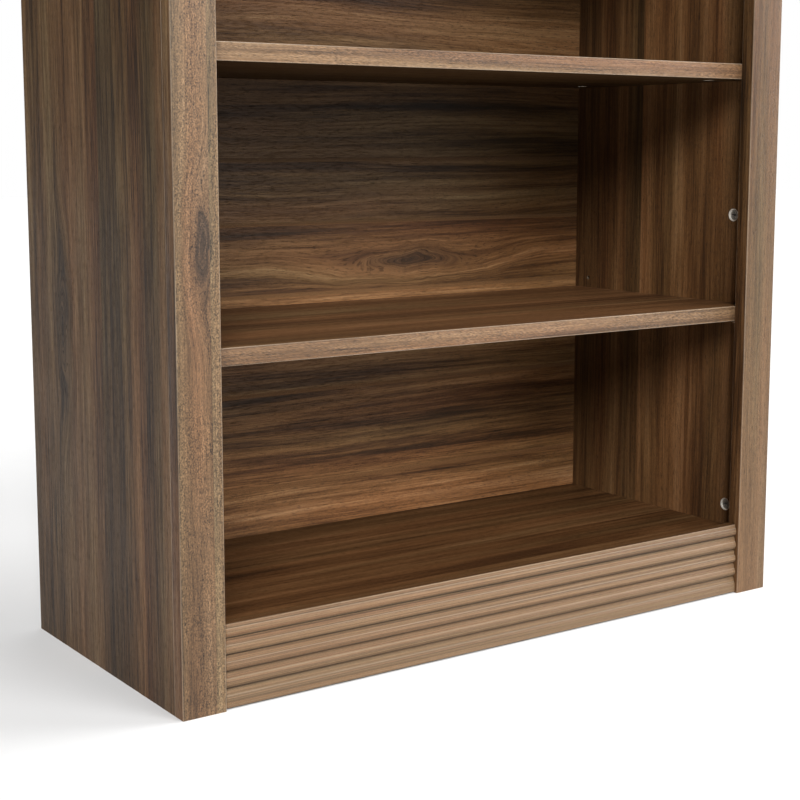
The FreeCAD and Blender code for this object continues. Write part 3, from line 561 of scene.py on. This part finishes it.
def link_piece(name, bm, materials, body, nodes, smooth_below=None):
    """Turns a bmesh in the row frame into a piece that stands for CAD nodes."""
    mesh = bpy.data.meshes.new(name)
    bm.normal_update()
    bm.to_mesh(mesh)
    bm.free()
    for material in materials:
        mesh.materials.append(material)
    if smooth_below is not None:
        mesh.shade_smooth()
        mesh.set_sharp_from_angle(angle=math.radians(smooth_below))
    obj = bpy.data.objects.new(name, mesh)
    SCENE.collection.objects.link(obj)
    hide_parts(*nodes)
    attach(obj, body)
    return obj


def eased_box(low, high, ease, segments=2):
    """A box in millimetres with its edges eased; the eased strips carry 1 as their mark for worn
    edges with a painted highlight.
    """
    bm = bmesh.new()
    bmesh.ops.create_cube(bm, size=1.0)
    low, high = Vector(low) * MM, Vector(high) * MM
    for vertex in bm.verts:
        vertex.co = Vector((
            low[axis] if vertex.co[axis] < 0 else high[axis] for axis in range(3)
        ))
    wear_and_highlight = bm.faces.layers.float.new("wear_and_highlight")
    if ease:
        made = bmesh.ops.bevel(
            bm, geom=list(bm.edges), offset=ease * MM, segments=segments, profile=0.5,
            affect="EDGES", clamp_overlap=True,
        )
        for face in made["faces"]:
            face[wear_and_highlight] = 1.0
    return bm


def by_direction(bm, table):
    """Sets material indices from each face's main direction, such as {"+y": 1}; else 0."""
    bm.normal_update()
    for face in bm.faces:
        axis = max(range(3), key=lambda i: abs(face.normal[i]))
        sign = "+" if face.normal[axis] > 0 else "-"
        face.material_index = table.get(sign + "xyz"[axis], 0)


def front_edges(bm, y):
    """The edges that lie in the plane y, in mm."""
    return [
        edge for edge in bm.edges if all(abs(v.co.y - y * MM) < 1e-6 for v in edge.verts)
    ]


def round_edges(bm, edges, offset, segments, wear_and_highlight_level):
    """Rounds edges of an eased_box() by offset mm; the new strips carry the last argument as their
    mark for worn edges with a painted highlight.
    """
    wear_and_highlight = bm.faces.layers.float["wear_and_highlight"]
    made = bmesh.ops.bevel(bm, geom=edges, offset=offset * MM, segments=segments, profile=0.5,
                           affect="EDGES")
    for face in made["faces"]:
        face[wear_and_highlight] = wear_and_highlight_level


def revolve(stations, segments=32):
    """A closed solid of revolution about local Z from (radius, height) pairs in mm, bottom up."""
    bm = bmesh.new()
    rings = []
    for radius, height in stations:
        if radius == 0:
            rings.append([bm.verts.new((0, 0, height * MM))])
            continue
        rings.append([
            bm.verts.new((
                radius * MM * math.cos(math.tau * i / segments),
                radius * MM * math.sin(math.tau * i / segments),
                height * MM,
            ))
            for i in range(segments)
        ])
    for lower, upper in zip(rings, rings[1:]):
        for i in range(segments):
            j = (i + 1) % segments
            ring = [lower[i % len(lower)], lower[j % len(lower)],
                    upper[j % len(upper)], upper[i % len(upper)]]
            unique = list(dict.fromkeys(ring))
            if len(unique) > 2:
                bm.faces.new(unique)
    for ring, flip in ((rings[0], True), (rings[-1], False)):
        if len(ring) > 1:
            bm.faces.new(list(reversed(ring)) if flip else ring)
    return bm


def extrude_outline(points, sections):
    """A solid along X from a closed outline of (y, z) pairs in mm.

    sections is a list of (x, push): at each x the front of the outline is pushed back a little,
    while its rearmost points stay.
    """
    bm = bmesh.new()
    rear = max(y for y, _ in points)
    rings = [
        [bm.verts.new((x * MM, (y if y == rear else y + push) * MM, z * MM)) for y, z in points]
        for x, push in sections
    ]
    count = len(points)
    for first, second in zip(rings, rings[1:]):
        for i in range(count):
            j = (i + 1) % count
            bm.faces.new((first[i], first[j], second[j], second[i]))
    bm.faces.new(list(reversed(rings[0])))
    bm.faces.new(rings[-1])
    bmesh.ops.recalc_face_normals(bm, faces=bm.faces)
    return bm


def merged(parts):
    """One bmesh from several (bmesh, matrix) pairs; the bmeshes stay as they are."""
    whole = bmesh.new()
    for part, matrix in parts:
        copy = bpy.data.meshes.new("copy")
        part.to_mesh(copy)
        copy.transform(matrix)
        whole.from_mesh(copy)
        bpy.data.meshes.remove(copy)
    return whole


def carve(bm, cutters, materials=1):
    """The solid of bm minus the solids of cutters, as a new bmesh.

    materials is how many material indices the faces use. The cutters must not overlap.
    """
    holder = []
    for index, source in enumerate((bm, cutters)):
        mesh = bpy.data.meshes.new("carve")
        source.normal_update()
        source.to_mesh(mesh)
        source.free()
        for _ in range(materials):
            mesh.materials.append(None)
        obj = bpy.data.objects.new("carve", mesh)
        SCENE.collection.objects.link(obj)
        holder.append(obj)
    target, tool = holder
    modifier = target.modifiers.new("cut", "BOOLEAN")
    modifier.operation = "DIFFERENCE"
    modifier.solver = "EXACT"
    modifier.object = tool
    depsgraph = bpy.context.evaluated_depsgraph_get()
    result = bpy.data.meshes.new_from_object(target.evaluated_get(depsgraph))
    carved = bmesh.new()
    carved.from_mesh(result)
    for obj in holder:
        mesh = obj.data
        bpy.data.objects.remove(obj)
        bpy.data.meshes.remove(mesh)
    bpy.data.meshes.remove(result)
    if not carved.faces:
        raise RuntimeError("a cut left nothing of the solid")
    return carved


def carve_in_turn(bm, cutters):
    """Cuts with one (bmesh, matrix) after another, for cutters that overlap each other."""
    for cutter in cutters:
        bm = carve(bm, merged([cutter]))
    return bm


def drill(mouth, direction, radius, depth, material, cone=0.6, segments=28):
    """A cutter for a blind hole: (bmesh, matrix). Its end is a shallow drill cone.

    mouth is a place in mm and material the index that the hole's wall gets.
    """
    bm = revolve([(0, -depth - cone), (radius, -depth), (radius, 1.0), (0, 1.0)], segments)
    for face in bm.faces:
        face.material_index = material
        face.smooth = True
    turn = Vector((0, 0, 1)).rotation_difference(-Vector(direction)).to_matrix().to_4x4()
    return bm, Matrix.Translation(Vector(mouth) * MM) @ turn


def islands(node):
    """Boxes in mm of the separate solids in a CAD node, as (lowest, highest) corners."""
    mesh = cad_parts[node].data
    parent = {}

    def root(key):
        while parent[key] != key:
            parent[key] = parent[parent[key]]
            key = parent[key]
        return key

    keys = [tuple(round(x, 6) for x in v.co) for v in mesh.vertices]
    for key in keys:
        parent.setdefault(key, key)
    for polygon in mesh.polygons:
        first = root(keys[polygon.vertices[0]])
        for index in polygon.vertices[1:]:
            parent[root(keys[index])] = first
    groups = {}
    for key in parent:
        groups.setdefault(root(key), []).append(key)
    boxes = []
    for points in groups.values():
        low = Vector(min(p[i] for p in points) for i in range(3)) / MM
        high = Vector(max(p[i] for p in points) for i in range(3)) / MM
        boxes.append((low, high))
    return sorted(boxes, key=lambda pair: tuple(round(x, 1) for x in pair[0]))


def corners(node):
    """A CAD node's box in mm, as (lowest, highest) corners."""
    low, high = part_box(node)
    return low / MM, high / MM


def middle(box):
    return (box[0] + box[1]) / 2


# ---------------------------------------------------------------------------------------------
# Case boards
# ---------------------------------------------------------------------------------------------

EASE = 0.4
PANEL_EASE = 0.25
BACK_EASE = 0.15
PIN_HOLE = 2.5
PIN_DEPTH = 9.8
PIN_PITCH = 32
PIN_HEAD = 3.5
CAM_HOLE = 7.5
CAM_DEPTH = 12.8
CAM_SEGMENTS = 40
SLOT_DEPTH = 6
SLOT_SLACK = 0.2
STILE_ROUND = 1.0
BAND_ROUND = 0.7

SIDES = (("left", -1), ("right", 1))
# material indices, other than the 0 of each piece's main face: of the side panels, the stiles,
# the rails, the horizontal panels and the back panel
CORE, INNER, TOP_END, PAINTED_SHADE_BORE = 1, 2, 3, 4
STILE_FOOT, STILE_SIDE = 1, 2
RAIL_TOP = 1
PANEL_CORE, PAINTED_SHADE_UNDERSIDE, PANEL_PAINTED_SHADE_BORE = 1, 2, 3
RAW_BACK = 1

back_low, back_high = corners("back_panel")
pins = {name: corners(name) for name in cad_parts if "_pin_" in name}
inner_face = {"left": corners("left_side_panel")[1].x, "right": corners("right_side_panel")[0].x}


def side_cutters(side_name, side, low, high):
    """Pin holes, cam holes and the back panel's slot in a side panel's inner face."""
    inner_x = inner_face[side_name]
    into = (side, 0, 0)
    cutters = []
    for pin_name, box in pins.items():
        if pin_name.endswith(side_name):
            for shift in (-PIN_PITCH, 0, PIN_PITCH):
                # the head's flat cuts its box short at the top, so its axis is taken from below
                mouth = (inner_x, middle(box).y, box[0].z + PIN_HEAD + shift)
                cutters.append(drill(mouth, into, PIN_HOLE, PIN_DEPTH, PAINTED_SHADE_BORE))
    for box in islands(f"{side_name}_stile_cams"):
        centre = middle(box)
        mouth = (inner_x, centre.y, centre.z)
        cutters.append(drill(mouth, into, CAM_HOLE, CAM_DEPTH, PAINTED_SHADE_BORE, 0, CAM_SEGMENTS))
    slot_low = (inner_x - (SLOT_DEPTH if side < 0 else 1), back_low.y - SLOT_SLACK, low.z - 1)
    slot_high = (inner_x + (SLOT_DEPTH if side > 0 else 1), back_high.y + SLOT_SLACK, high.z + 1)
    slot_cutter = eased_box(slot_low, slot_high, 0)
    for face in slot_cutter.faces:
        face.material_index = CORE
    return [*cutters, (slot_cutter, Matrix.Identity(4))]


for side_name, side in SIDES:
    node = f"{side_name}_side_panel"
    low, high = corners(node)
    cutters = side_cutters(side_name, side, low, high)
    bm = eased_box(low, high, EASE)
    inward = "+x" if side < 0 else "-x"
    by_direction(bm, {inward: INNER, "+y": CORE, "-z": CORE, "+z": TOP_END})
    outer = outer_left_painted_shade if side < 0 else outer_right
    inner = inner_left if side < 0 else inner_right_painted_shade
    materials = [outer, chipboard, inner, depth_band_wood, bore_painted_shade]
    bm = carve(bm, merged(cutters), len(materials))
    link_piece(f"{side_name}_side_board", bm, materials, "case", [node])

    # the stile: a bar with rounded front edges
    node = f"{side_name}_stile"
    low, high = corners(node)
    bm = eased_box(low, high, 0)
    upright = [
        edge for edge in front_edges(bm, low.y)
        if abs(edge.verts[0].co.z - edge.verts[1].co.z) > 0.1
    ]
    # the rounded edges are marked as worn, with a painted highlight
    round_edges(bm, upright, STILE_ROUND, 5, 0.6)
    others = [
        edge for edge in bm.edges
        if edge.is_manifold and edge.calc_face_angle() > math.radians(60)
    ]
    round_edges(bm, others, EASE, 2, 1.0)
    by_direction(bm, {"-z": STILE_FOOT, "-x": STILE_SIDE, "+x": STILE_SIDE})
    face_wood = left_stile if side < 0 else right_stile
    link_piece(f"{side_name}_stile_board", bm, [face_wood, chipboard, stile_side],
               "case", [node], smooth_below=35)

# the reeded rails
REED_PITCH = 15.9
GROOVE_ABOVE = 2.6     # a rail's top edge lies this far below the upper edge of a groove's floor
CREST_DROP = 10.9      # from that edge of a groove down to the crest of the reed below it
# outline of a groove, as (depth, height over that edge): where the upper reed's rounding ends,
# the corners of the groove, and where the lower reed's rounding starts
GROOVE_TOP = (1.3, 1.1)
GROOVE_CORNERS = ((4.0, 0.0), (4.0, -0.9), (2.4, -2.6), (1.8, -6.5))
GROOVE_FOOT = (1.0, -7.3)
ARC_STEPS = 7
TOP_CHAMFER = 0.6
FOOT_CHAMFER = 0.9
# rounding of a rail's ends: (distance from the end, set-back of the front)
END_ROUND = ((0, 2.4), (0.25, 1.55), (0.8, 0.85), (1.6, 0.3), (2.8, 0))
# how strong the painted highlight on a reed's ledges and the painted shade on its belly and slopes
# are
LEDGE_HIGHLIGHT = 0.6
BELLY_SHADE = 0.25
SLOPE_SHADE = 0.3


def crown(depth, rise, crest, upwards):
    """Arc from the crest, where it is upright, to a point depth behind it and rise away."""
    radius = (depth * depth + rise * rise) / (2 * depth)
    sweep = math.asin(rise / radius)
    points = []
    for i in range(ARC_STEPS + 1):
        angle = sweep * i / ARC_STEPS
        points.append((radius * (1 - math.cos(angle)), crest + upwards * radius * math.sin(angle)))
    return points


def rail_front(low, high):
    """(depth, z) points down a rail's front, from above its top edge to its foot."""
    front = []
    z = high.z + GROOVE_ABOVE
    while z - CREST_DROP > low.z:
        upper_crest = z + REED_PITCH - CREST_DROP
        front += crown(GROOVE_TOP[0], upper_crest - z - GROOVE_TOP[1], upper_crest, -1)
        front += [(depth, z + rise) for depth, rise in GROOVE_CORNERS]
        rise = CREST_DROP + GROOVE_FOOT[1]
        front += reversed(crown(GROOVE_FOOT[0], rise, z - CREST_DROP, 1))
        z -= REED_PITCH
    return front + [(0.0, low.z + FOOT_CHAMFER), (FOOT_CHAMFER, low.z)]


def rail_outline(low, high):
    """Closed (y, z) outline of a reeded rail, from its top rear edge over the front."""
    front = rail_front(low, high)
    kept = []
    for (d0, z0), (d1, z1) in zip(front, front[1:]):
        if z0 <= high.z:
            if not kept:
                kept.append((d0, z0))
            kept.append((d1, z1))
        elif z1 < high.z:
            share = (z0 - high.z) / (z0 - z1)
            kept += [(d0 + (d1 - d0) * share, high.z), (d1, z1)]
    tidy = [kept[0]]
    for point in kept[1:]:
        if abs(point[0] - tidy[-1][0]) + abs(point[1] - tidy[-1][1]) > 0.02:
            tidy.append(point)
    top_depth = tidy[0][0]
    tidy[0] = (top_depth, high.z - TOP_CHAMFER)
    outline = [(low.y + d, z) for d, z in tidy]
    return [(high.y, high.z), (low.y + top_depth + TOP_CHAMFER, high.z), *outline, (high.y, low.z)]


def mark_rail(bm, low, high):
    """Marks a rail's faces for painted highlight and painted shade, and sets the material index of
    its top.
    """
    wear_and_highlight = bm.faces.layers.float.new("wear_and_highlight")
    painted_shade = bm.faces.layers.float.new("painted_shade")
    groove_front, groove_floor, groove_end = 2.7, 3.6, 6
    for face in bm.faces:
        if abs(face.normal.x) > 0.5:
            continue
        centre = face.calc_center_median() / MM
        depth = centre.y - low.y
        # up-facing ledges near the front: painted highlight where light from above falls
        if depth < groove_end and face.normal.z > 0.5:
            face[wear_and_highlight] = LEDGE_HIGHLIGHT
        # down-facing bellies of the reeds: painted shade
        if depth < groove_front and face.normal.z < -0.15:
            face[painted_shade] = BELLY_SHADE
        # slopes and floors of the grooves: painted shade, with no highlight
        if groove_front < depth < groove_end and centre.z < high.z - 1:
            face[painted_shade] = 1.0 if depth > groove_floor else SLOPE_SHADE
            face[wear_and_highlight] = 0.0
        # the strip along the foot: painted shade where the rail meets the floor
        if centre.z < low.z + 1:
            face[painted_shade] = 1.0
        if face.normal.z > 0.99 and centre.z > high.z - 0.1:
            face[wear_and_highlight] = 0.0
            face.material_index = RAIL_TOP


for node, name, material in (
    ("plinth_rail", "plinth_reeded_board", plinth_wood),
    ("top_rail", "top_reeded_board", top_rail_wood),
):
    low, high = corners(node)
    sections = [(low.x + inset, push) for inset, push in END_ROUND]
    sections += [(high.x - inset, push) for inset, push in reversed(END_ROUND)]
    bm = extrude_outline(rail_outline(low, high), sections)
    mark_rail(bm, low, high)
    link_piece(name, bm, [material, rail_top_wood], "case", [node],
               smooth_below=28)

# fixed panels and the loose shelves
BOARDS = (
    ("bottom_panel", "bottom_panel_board", bottom_wood, "case"),
    ("middle_shelf", "middle_shelf_board", middle_wood, "case"),
    ("top_panel", "top_panel_board", top_wood, "case"),
    ("lower_shelf", "lower_shelf_board", lower_wood, "lower_shelf"),
    ("upper_shelf", "upper_shelf_board", upper_wood, "upper_shelf"),
)
for node, name, material, body in BOARDS:
    low, high = corners(node)
    bm = eased_box(low, high, PANEL_EASE)
    by_direction(bm, {"-x": PANEL_CORE, "+x": PANEL_CORE, "+y": PANEL_CORE, "-z": PAINTED_SHADE_UNDERSIDE})
    materials = [material, chipboard, underside_painted_shade_wood, bore_painted_shade]
    if f"{node}_cams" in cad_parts:
        cutters = [
            drill((centre.x, centre.y, low.z), (0, 0, 1), CAM_HOLE, CAM_DEPTH, PANEL_PAINTED_SHADE_BORE, 0,
                  CAM_SEGMENTS)
            for centre in map(middle, islands(f"{node}_cams"))
        ]
        bm = carve(bm, merged(cutters), len(materials))
    link_piece(name, bm, materials, body, [node])

for shelf, body in (
    ("lower_shelf", "lower_shelf"),
    ("upper_shelf", "upper_shelf"),
    ("middle_shelf", "case"),
):
    node = f"{shelf}_edge_band"
    low, high = corners(node)
    bm = eased_box(low, high, 0)
    # the rounded front edge is marked as worn, with a painted highlight
    round_edges(bm, front_edges(bm, low.y), BAND_ROUND, 4, 1.0)
    link_piece(f"{shelf}_front_band", bm, [band_wood], body, [node], smooth_below=35)

bm = eased_box(back_low, back_high, BACK_EASE, 1)
by_direction(bm, dict.fromkeys(("+y", "-x", "+x", "+z", "-z"), RAW_BACK))
link_piece("back_panel_board", bm, [back_painted_shade_wood, hardboard], "case", ["back_panel"])

# ---------------------------------------------------------------------------------------------
# Fittings
# ---------------------------------------------------------------------------------------------


def box_cutter(low, high):
    return eased_box(low, high, 0), Matrix.Identity(4)


def cam_piece():
    """Cam disc: face at z = 0, looking along +Z; its arrow and its bolt channel point to +X.

    The faces of the dish and of the cross are marked for painted shade.
    """
    body = revolve([
        (0, -12.2), (7.0, -12.2), (7.4, -11.8), (7.4, -0.3), (7.33, -0.1), (7.15, 0.0),
        (7.0, 0.0), (6.85, -0.1), (6.0, -2.1), (5.75, -2.35), (5.4, -2.4), (5.1, -2.3),
        (4.85, -1.9), (4.6, -1.8), (0, -1.8),
    ], 48)
    cross = [
        box_cutter((-3.3, -0.75, -4.2), (3.3, 0.75, 1)),
        box_cutter((-0.75, -3.3, -4.2), (0.75, 3.3, 1)),
        (revolve([(0, -4.6), (1.4, -4.1), (1.8, 1), (0, 1)], 20), Matrix.Identity(4)),
        box_cutter((6.0, -0.45, -0.5), (7.6, 0.45, 1)),
    ]
    channel = revolve([(0, -3), (3.9, -3), (3.9, 12), (0, 12)], 28)
    along_x = Matrix.Translation((0, 0, -8 * MM)) @ Matrix.Rotation(math.pi / 2, 4, "Y")
    body = carve_in_turn(body, [*cross, (channel, along_x)])
    painted_shade = body.faces.layers.float.new("painted_shade")
    dish_depth, dish_radius = -1.6, 6.0
    for face in body.faces:
        # dish floor and cross: painted shade in the recess
        centre = face.calc_center_median() / MM
        if centre.z < dish_depth and centre.xy.length < dish_radius:
            face[painted_shade] = 1.0
    return body


def pin_piece():
    """Support pin along Z: peg below z = 0, head above it, cut flat towards +X."""
    bm = revolve([
        (0, -9), (1.7, -9), (2.15, -8.85), (2.45, -8.4), (2.45, 0.05), (3.2, 0.05),
        (3.42, 0.12), (3.5, 0.35), (3.5, 7.2), (3.42, 7.6), (3.2, 7.88), (2.85, 8.0), (0, 8.0),
    ], 40)
    waste = eased_box((2.5, -8, 0.03), (9, 8, 12), 0)
    return carve(bm, waste)


def screw_piece():
    """Pan-head screw: the head sits on z = 0, the shank points down, and a cross is sunk in."""
    bm = revolve([
        (0, -14), (0.5, -13.4), (1.7, -11), (1.7, 0), (3.45, 0), (3.6, 0.15), (3.6, 0.75),
        (3.42, 1.2), (3.0, 1.6), (2.3, 1.88), (1.2, 1.99), (0, 2.0),
    ], 32)
    arms = [
        box_cutter((-1.9, -0.32, 0.9), (1.9, 0.32, 3)),
        box_cutter((-0.32, -1.9, 0.9), (0.32, 1.9, 3)),
        (revolve([(0, 0.4), (0.6, 0.9), (0.95, 3), (0, 3)], 16), Matrix.Identity(4)),
    ]
    return carve_in_turn(bm, arms)


def aimed(place, z_axis, x_axis):
    """A matrix to a place in mm, with local Z and X turned to these directions."""
    z_dir, x_dir = Vector(z_axis), Vector(x_axis)
    turn = Matrix((x_dir, z_dir.cross(x_dir), z_dir)).transposed().to_4x4()
    return Matrix.Translation(Vector(place) * MM) @ turn


cam, pin, screw = cam_piece(), pin_piece(), screw_piece()

for side_name, side in SIDES:
    node = f"{side_name}_stile_cams"
    copies = []
    for box in islands(node):
        place = middle(box)
        place.x = box[1].x if side < 0 else box[0].x
        copies.append((cam, aimed(place, (-side, 0, 0), (0, -1, 0))))
    link_piece(f"{side_name}_stile_cam_discs", merged(copies), [zinc], "case", [node],
               smooth_below=30)

for panel in ("bottom_panel", "middle_shelf", "top_panel"):
    node = f"{panel}_cams"
    copies = []
    for box in islands(node):
        place = middle(box)
        place.z = box[0].z
        towards = (1 if place.x > 0 else -1, 0, 0)
        copies.append((cam, aimed(place, (0, 0, -1), towards)))
    link_piece(f"{panel}_cam_discs", merged(copies), [zinc], "case", [node],
               smooth_below=30)

for name, box in pins.items():
    side_name, side = SIDES[0] if name.endswith("left") else SIDES[1]
    place = (inner_face[side_name], middle(box).y, box[0].z + PIN_HEAD)
    matrix = aimed(place, (-side, 0, 0), (0, 0, 1))
    link_piece(f"{name}_plated", merged([(pin, matrix)]), [nickel], name, [name],
               smooth_below=30)

copies = []
for box in islands("back_panel_screws"):
    place = middle(box)
    place.y = back_high.y
    # each cross ends at an angle of its own
    turn = Matrix.Rotation(place.x * 0.7 + place.z, 4, "Z")
    copies.append((screw, aimed(place, (0, 1, 0), (1, 0, 0)) @ turn))
link_piece("back_screws_plated", merged(copies), [plated], "case",
           ["back_panel_screws"], smooth_below=30)
for bm in (cam, pin, screw):
    bm.free()

# hidden fittings keep their CAD shape
for name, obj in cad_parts.items():
    if obj.hide_render:
        continue
    material = beech if "dowel" in name else plated
    if not obj.material_slots:
        obj.data.materials.append(material)
    for item in obj.material_slots:
        item.material = material

# ---------------------------------------------------------------------------------------------
# Floor, light and camera
# ---------------------------------------------------------------------------------------------

FLOOR_HALF = 14.0
FLOOR_TONE = (0.81, 0.81, 0.81)
FLOOR_GLOSS = 0.1


def stage_floor():
    bm = bmesh.new()
    bm.faces.new([
        bm.verts.new((x * FLOOR_HALF, y * FLOOR_HALF, 0.0))
        for x, y in ((-1, -1), (1, -1), (1, 1), (-1, 1))
    ])
    mesh = bpy.data.meshes.new("studio_floor")
    bm.to_mesh(mesh)
    bm.free()
    g = Graph("studio_white")
    grain = g.noise(g.place, (30.0, 30.0, 30.0), detail=3.0)
    colour = g.shade(FLOOR_TONE, g.sum(1.0, g.spread(grain, 0.01)))
    mesh.materials.append(g.surface(colour, 0.8, gloss=FLOOR_GLOSS))
    obj = bpy.data.objects.new("studio_floor", mesh)
    SCENE.collection.objects.link(obj)


# name: (azimuth from the front, elevation, angular width, strength); angles in degrees
LIGHTS = {
    "key": (-33, 30, 26, 4.2),
    "fill_low": (22, 10, 35, 0.8),
    "fill_right": (24, 30, 35, 1.5),
    "edge_low": (75, 10, 35, 1.3),
    "edge_right": (75, 30, 35, 1.5),
    "rear": (130, 30, 50, 0.55),
}
# strength of the sky: as the camera sees it behind the floor, and as it lights the object
WORLD_SHOWN = 1.0
WORLD_LIGHT = 0.05


def stage_light():
    world = bpy.data.worlds.new("studio")
    world.use_nodes = True
    tree = world.node_tree
    background = tree.nodes["Background"]
    background.inputs["Color"].default_value = (1.0, 1.0, 1.0, 1.0)
    path = tree.nodes.new("ShaderNodeLightPath")
    strength = tree.nodes.new("ShaderNodeMapRange")
    tree.links.new(path.outputs["Is Camera Ray"], strength.inputs[0])
    strength.inputs["To Min"].default_value = WORLD_LIGHT
    strength.inputs["To Max"].default_value = WORLD_SHOWN
    tree.links.new(strength.outputs[0], background.inputs["Strength"])
    SCENE.world = world
    for name, (azimuth, elevation, width, power) in LIGHTS.items():
        light = bpy.data.lights.new(name, "SUN")
        light.energy = power
        light.angle = math.radians(width)
        holder = bpy.data.objects.new(name, light)
        turn, rise = math.radians(azimuth), math.radians(elevation)
        towards = Vector((
            math.sin(turn) * math.cos(rise),
            -math.cos(turn) * math.cos(rise),
            math.sin(rise),
        ))
        holder.rotation_euler = towards.to_track_quat("Z", "Y").to_euler()
        SCENE.collection.objects.link(holder)
    SCENE.view_settings.view_transform = "Standard"


SENSOR_WIDTH = 36.0
LENS = 69.77
SHIFT_UP = -0.05
CAMERA_PLACE = (-987.4, -1384.6, 514.6)
CAMERA_TURN = 34.79
CAMERA_TILT = 7.79


def stage_camera():
    data = bpy.data.cameras.new("camera")
    data.sensor_width = SENSOR_WIDTH
    data.lens = LENS
    data.shift_y = SHIFT_UP
    data.clip_end = 100.0
    obj = bpy.data.objects.new("camera", data)
    obj.location = Vector(CAMERA_PLACE) * MM
    obj.rotation_euler = (
        math.radians(90 - CAMERA_TILT), 0.0, -math.radians(CAMERA_TURN),
    )
    SCENE.collection.objects.link(obj)
    SCENE.camera = obj


stage_floor()
stage_light()
stage_camera()
